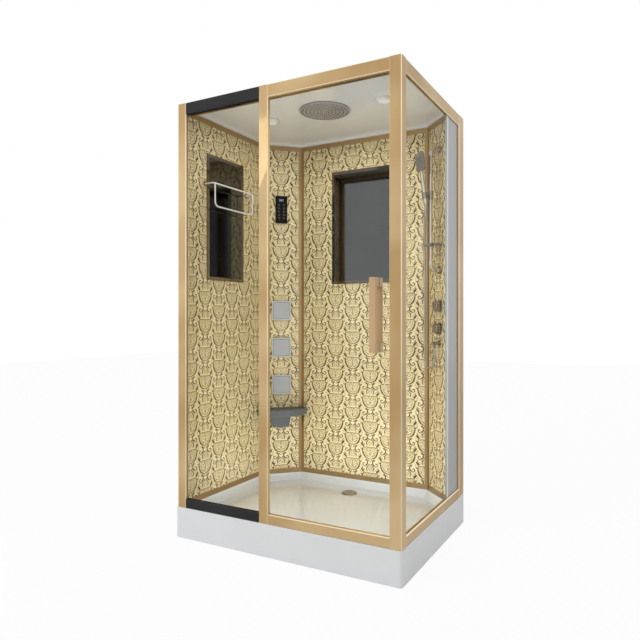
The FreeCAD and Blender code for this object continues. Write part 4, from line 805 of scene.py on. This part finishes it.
# Hose: the solid's route, in mm, but further out under the hand shower, where it has to pass the
# soap dish and the riser when the slider and the socket move
HOSE_ROUTE = [
    (483.2, 302.1, 934.5), (486.1, 302.1, 892.0), (483.2, 302.1, 848.0), (463.8, 316.2, 824.0),
    (436.2, 336.1, 824.0), (416.8, 350.2, 848.0), (414.6, 350.9, 905.0), (416.8, 347.4, 1010.0),
    (421.0, 336.1, 1190.0), (421.0, 330.4, 1400.0), (422.4, 323.3, 1500.0),
    (437.3, 290.1, 1580.0), (447.5, 266.4, 1618.0), (449.7, 268.6, 1669.7),
]
# It is made in three lengths that meet end to end: name, lower body, upper body, the heights
# between which it passes from the one body to the other, and the height of its own end
HOSE_LENGTHS = [
    ("ribbed_hose", "cabin", "rail_slider", 950, 1555, 1560),
    ("ribbed_hose_upper", "rail_slider", "shower_socket", 1572, 1638, 1640),
    ("ribbed_hose_end", "shower_socket", "handset", 1642, 1666, 1700),
]
HOSE_SIDES = 14
HOSE_RIDGE, HOSE_GROOVE = 6.0, 5.45
HOSE_RING = 0.0012


def hose_path():
    """Points a ring apart along the route's smooth line."""
    data = bpy.data.curves.new("shower_hose_line", "CURVE")
    data.dimensions = "3D"
    data.resolution_u = 12
    spline = data.splines.new("NURBS")
    spline.points.add(len(HOSE_ROUTE) - 1)
    for point, (x, y, z) in zip(spline.points, HOSE_ROUTE):
        point.co = (x * MM, y * MM, z * MM, 1)
    spline.order_u = 3
    spline.use_endpoint_u = True
    line = show(bpy.data.objects.new("shower_hose_line", data))
    bpy.context.view_layer.update()
    graph = bpy.context.evaluated_depsgraph_get()
    path_mesh = bpy.data.meshes.new_from_object(line.evaluated_get(graph))
    path = [vertex.co.copy() for vertex in path_mesh.vertices]
    bpy.data.objects.remove(line)
    dense = []
    for start, end in zip(path, path[1:]):
        count = max(1, round((end - start).length / HOSE_RING))
        dense += [start.lerp(end, i / count) for i in range(count)]
    return dense + [path[-1]]


def shower_hose():
    """Ribbed tube along the route, in three lengths."""
    path = hose_path()
    rings = []
    side = Vector((1, 0, 0))
    for i, point in enumerate(path):
        way = (path[min(i + 1, len(path) - 1)] - path[max(i - 1, 0)]).normalized()
        side = (side - way * side.dot(way)).normalized()
        up = way.cross(side)
        radius = (HOSE_RIDGE if i % 3 else HOSE_GROOVE) * MM
        rings.append([point + (side * math.cos(a) + up * math.sin(a)) * radius
                      for a in (2 * math.pi * k / HOSE_SIDES for k in range(HOSE_SIDES))])
    lengths = []
    first = 0
    for name, lower, upper, leave, come, end in HOSE_LENGTHS:
        last = max(i for i in range(len(path)) if path[i].z < end * MM)
        bm = bmesh.new()
        tube = [[bm.verts.new(corner) for corner in ring] for ring in rings[first:last + 1]]
        for one, two in zip(tube, tube[1:]):
            for k in range(HOSE_SIDES):
                after = (k + 1) % HOSE_SIDES
                bm.faces.new((one[k], one[after], two[after], two[k])).smooth = True
        for cap in (bm.faces.new(list(reversed(tube[0]))), bm.faces.new(tube[-1])):
            for edge in cap.edges:
                edge.smooth = False
        hose = show(made(name, bm))
        hose.data.materials.append(MATERIALS["hose_metal"])
        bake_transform(hose)
        lengths.append((hose, path[first:last + 1]))
        first = last
    lower, upper, end = lengths
    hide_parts("shower_hose")


# Flat shapes of repeated small parts
def washer(inner, outer, count):
    """A flat ring of four-sided shapes."""
    shapes = []
    for i in range(count):
        a, b = 2 * math.pi * i / count, 2 * math.pi * (i + 1) / count
        shapes.append([(inner * math.cos(a), inner * math.sin(a)),
                       (inner * math.cos(b), inner * math.sin(b)),
                       (outer * math.cos(b), outer * math.sin(b)),
                       (outer * math.cos(a), outer * math.sin(a))])
    return shapes


def spread_over(name, wall_matrix, places, shapes, slot, body, lift, record_slot=None):
    """Small flat parts set on a face, all in one piece."""
    part = flat_shapes(name + "_part", [shapes], lift)
    bm = taken_up(repeated(name, [(x * MM, y * MM, 0) for x, y in places], part, slot))
    bmesh.ops.transform(bm, matrix=wall_matrix, verts=bm.verts)
    return mesh_piece(name, bm, slot, body, record_slot=record_slot)


def pane(node, body, thin):
    """A pane whose polished edges show the green of the glass; thin is its axis across."""
    bm = welded(node)
    for face in bm.faces:
        face.material_index = 0 if abs(face.normal[thin]) > 0.9 else 1
    piece = mesh_piece(node + "_pane", bm, "clear_glass", body, node)
    piece.data.materials.append(MATERIALS["glass_edge"])


MIRROR_THICK = 5.0
BEVEL_WIDTH, BEVEL_DROP = 18.0, 1.6
BEVEL_EDGE = 1.2


def bevelled_mirrors():
    """Both mirrors: dark edge, bevel and tinted face."""
    bm = bmesh.new()
    ledge = MIRROR_THICK - BEVEL_DROP
    for wall, low_u, high_u in ((LEFT, -172.5, 143.5), (BACK, -190.0, 200.0)):
        place = wall.matrix()
        rings = []
        for inset, height in ((0, 0), (0, ledge), (BEVEL_EDGE, ledge), (BEVEL_WIDTH, MIRROR_THICK)):
            left, right = low_u + inset, high_u - inset
            foot, head = MIRROR_LOW + inset, MIRROR_HIGH - inset
            corners = [(left, foot), (right, foot), (right, head), (left, head)]
            rings.append([bm.verts.new(place @ Vector((u * MM, z * MM, height * MM)))
                          for u, z in corners])
        bm.faces.new(list(reversed(rings[0])))
        for number, (one, two) in enumerate(zip(rings, rings[1:])):
            for k in range(4):
                face = bm.faces.new((one[k], one[(k + 1) % 4], two[(k + 1) % 4], two[k]))
                face.material_index = 1 if number < 2 else 2
        bm.faces.new(rings[-1])
    piece = mesh_piece("bevelled_mirrors", bm, "mirror", "cabin", "mirrors")
    piece.data.materials.append(MATERIALS["mirror_band"])
    piece.data.materials.append(MATERIALS["mirror_bevel"])


JET_PITCH = 10.5
JET_RADIUS = 1.7
SEEN_LIFT = 0.15


def jet_plates():
    """Body jets with the small nozzles of their faces, flat dark discs of painted hole shade."""
    eased("jet_rims", "jet_rim", "cabin", 2.5, 3)
    eased("jet_faces", "jet_face", "cabin", 1.2)
    places = [(x * JET_PITCH, y * JET_PITCH) for x in range(-4, 5) for y in range(-4, 5)
              if abs(x) + abs(y) < 8]
    for number, height in enumerate(JET_HEIGHTS, start=1):
        place = LEFT_COLUMN.matrix(COLUMN_MIDDLE, FITTING_FRONT, height)
        spread_over("jet_nozzles_%d" % number, place, places, dot(0, 0, JET_RADIUS, 8),
                    "jet_hole", "cabin", SEEN_LIFT, "jet_face")


# Strokes of a digit: column, row, lies flat, stands upright
SEGMENTS = {"a": (0, 2, 1, 0), "b": (1, 1, 0, 1), "c": (1, 0, 0, 1), "d": (0, 0, 1, 0),
            "e": (0, 0, 0, 1), "f": (0, 1, 0, 1), "g": (0, 1, 1, 0)}


def digit(x, y, lit, wide=6.0, tall=6.0, thick=1.3, gap=0.8):
    """A plain digit of seven strokes."""
    shapes = []
    for name in lit:
        col, row, flat, upright = SEGMENTS[name]
        x0, y0 = x + col * wide, y + row * tall
        if flat:
            shapes.append([(x0 + gap, y0 - thick / 2), (x0 + wide - gap, y0 - thick / 2),
                           (x0 + wide - gap, y0 + thick / 2), (x0 + gap, y0 + thick / 2)])
        if upright:
            shapes.append([(x0 - thick / 2, y0 + gap), (x0 + thick / 2, y0 + gap),
                           (x0 + thick / 2, y0 + tall - gap), (x0 - thick / 2, y0 + tall - gap)])
    return shapes


def control_panel():
    """Glass face with a lit number and ten ringed keys."""
    eased("panel_face", "panel_glass", "cabin", 1.2, 3)
    place = LEFT_COLUMN.matrix(COLUMN_MIDDLE, FITTING_FRONT, PANEL_HEIGHT)
    lit = digit(-15, 50, "abgcd") + digit(-4, 50, "abcdefg") + digit(8, 50, "adef")
    flat = flat_shapes("panel_digits_flat", [lit], SEEN_LIFT)
    bm = bmesh.new()
    bm.from_mesh(flat.data)
    bmesh.ops.transform(bm, matrix=place, verts=bm.verts)
    mesh_piece("panel_digits", bm, "display", "cabin", record_slot="panel_glass")
    key = washer(4.6, 5.4, 16) + dot(0, 0, 1.4, 8)
    places = [(x, y) for y in (28, 8, -12, -32, -52) for x in (-15, 15)]
    spread_over("panel_keys", place, places, key, "icon", "cabin", SEEN_LIFT, "panel_glass")


def islands(node):
    """Middles of a node's separate small solids, in metres."""
    bm = welded(node, whole_faces=False)
    seen, middles = set(), []
    for vert in bm.verts:
        if vert in seen:
            continue
        stack, group = [vert], []
        seen.add(vert)
        while stack:
            item = stack.pop()
            group.append(item.co.copy())
            for edge in item.link_edges:
                other = edge.other_vert(item)
                if other not in seen:
                    seen.add(other)
                    stack.append(other)
        low = Vector([min(c[k] for c in group) for k in range(3)])
        high = Vector([max(c[k] for c in group) for k in range(3)])
        middles.append((low + high) / 2)
    bm.free()
    return middles


def rain_collars():
    """A bright collar round each nozzle of the rain head."""
    places = [(p.x / MM, -p.y / MM) for p in islands("rain_nozzles")]
    face = Matrix.Translation((0, 0, RAIN_FACE * MM)) @ Matrix.Rotation(math.pi, 4, "X")
    spread_over("rain_collars", face, places, washer(2.6, 3.9, 10), "collar", "cabin", 0.12,
                "head_chrome")


# Node, finish, body, width of the eased edge in mm, and its segments
EASED = (
    ("shower_tray", "tray", "cabin", 5.0, 4),
    ("seat", "seat_plastic", "cabin", 4.0, 3),
    ("seat_bracket", "bucket_plastic", "cabin", 4.0, 3),
    ("door_handles", "handle_metal", "door", 1.6, 2),
    ("post_left", "gold_bars", "cabin", 1.6, 2),
    ("post_middle", "gold_bars", "cabin", 1.6, 2),
    ("post_corner", "gold_bars", "cabin", 1.6, 2),
    ("post_back", "gold_bars", "cabin", 1.6, 2),
    ("rails_gold", "gold_flat", "cabin", 0.6, 2),
    ("rails_left", "dark_bars", "cabin", 0.8, 2),
    ("ceiling", "ceiling_plastic", "cabin", 3.0, 3),
    ("rain_head", "head_chrome", "cabin", 1.2, 2),
    ("downlights", "lamp_ring", "cabin", 1.5, 2),
    ("light_lenses", "lamp_lens", "cabin", 1.0, 2),
    ("panel_case", "panel_dark", "cabin", 1.0, 2),
    ("mixer_knob_1", "fitting_chrome", "upper_knob", 1.0, 2),
    ("mixer_knob_2", "fitting_chrome", "lower_knob", 1.0, 2),
    ("soap_dish", "dish_plastic", "dish", 0.8, 2),
    ("socket", "fitting_chrome", "shower_socket", 0.8, 2),
    ("slider", "fitting_chrome", "rail_slider", 0.8, 2),
    ("drain_cover", "drain_chrome", "waste_cover", 0.6, 2),
    ("wall_channels", "wall_profile", "cabin", 0.4, 1),
)


def eased_pieces():
    for node, slot, body, width, segments in EASED:
        # Gold pieces get a lighter tone on their slanted faces: a painted highlight.
        eased(node, slot, body, width, segments, "gold_painted_highlight" if slot[:4] == "gold" else None)
    dark_paddle(eased("hand_shower", "shower_plastic", "handset", 2.0, 3))


bpy.context.scene.view_settings.view_transform = "Standard"
paint_nodes()
pale_floor()
white_world()
lights()
camera()
shower_hose()
rain_collars()
eased_pieces()
for glass, rider, across in (("glass_left", "cabin", 1), ("glass_side", "cabin", 0),
                             ("door_glass", "door", 1)):
    pane(glass, rider, across)
bevelled_mirrors()
jet_plates()
control_panel()
print_walls()
write_sizes()
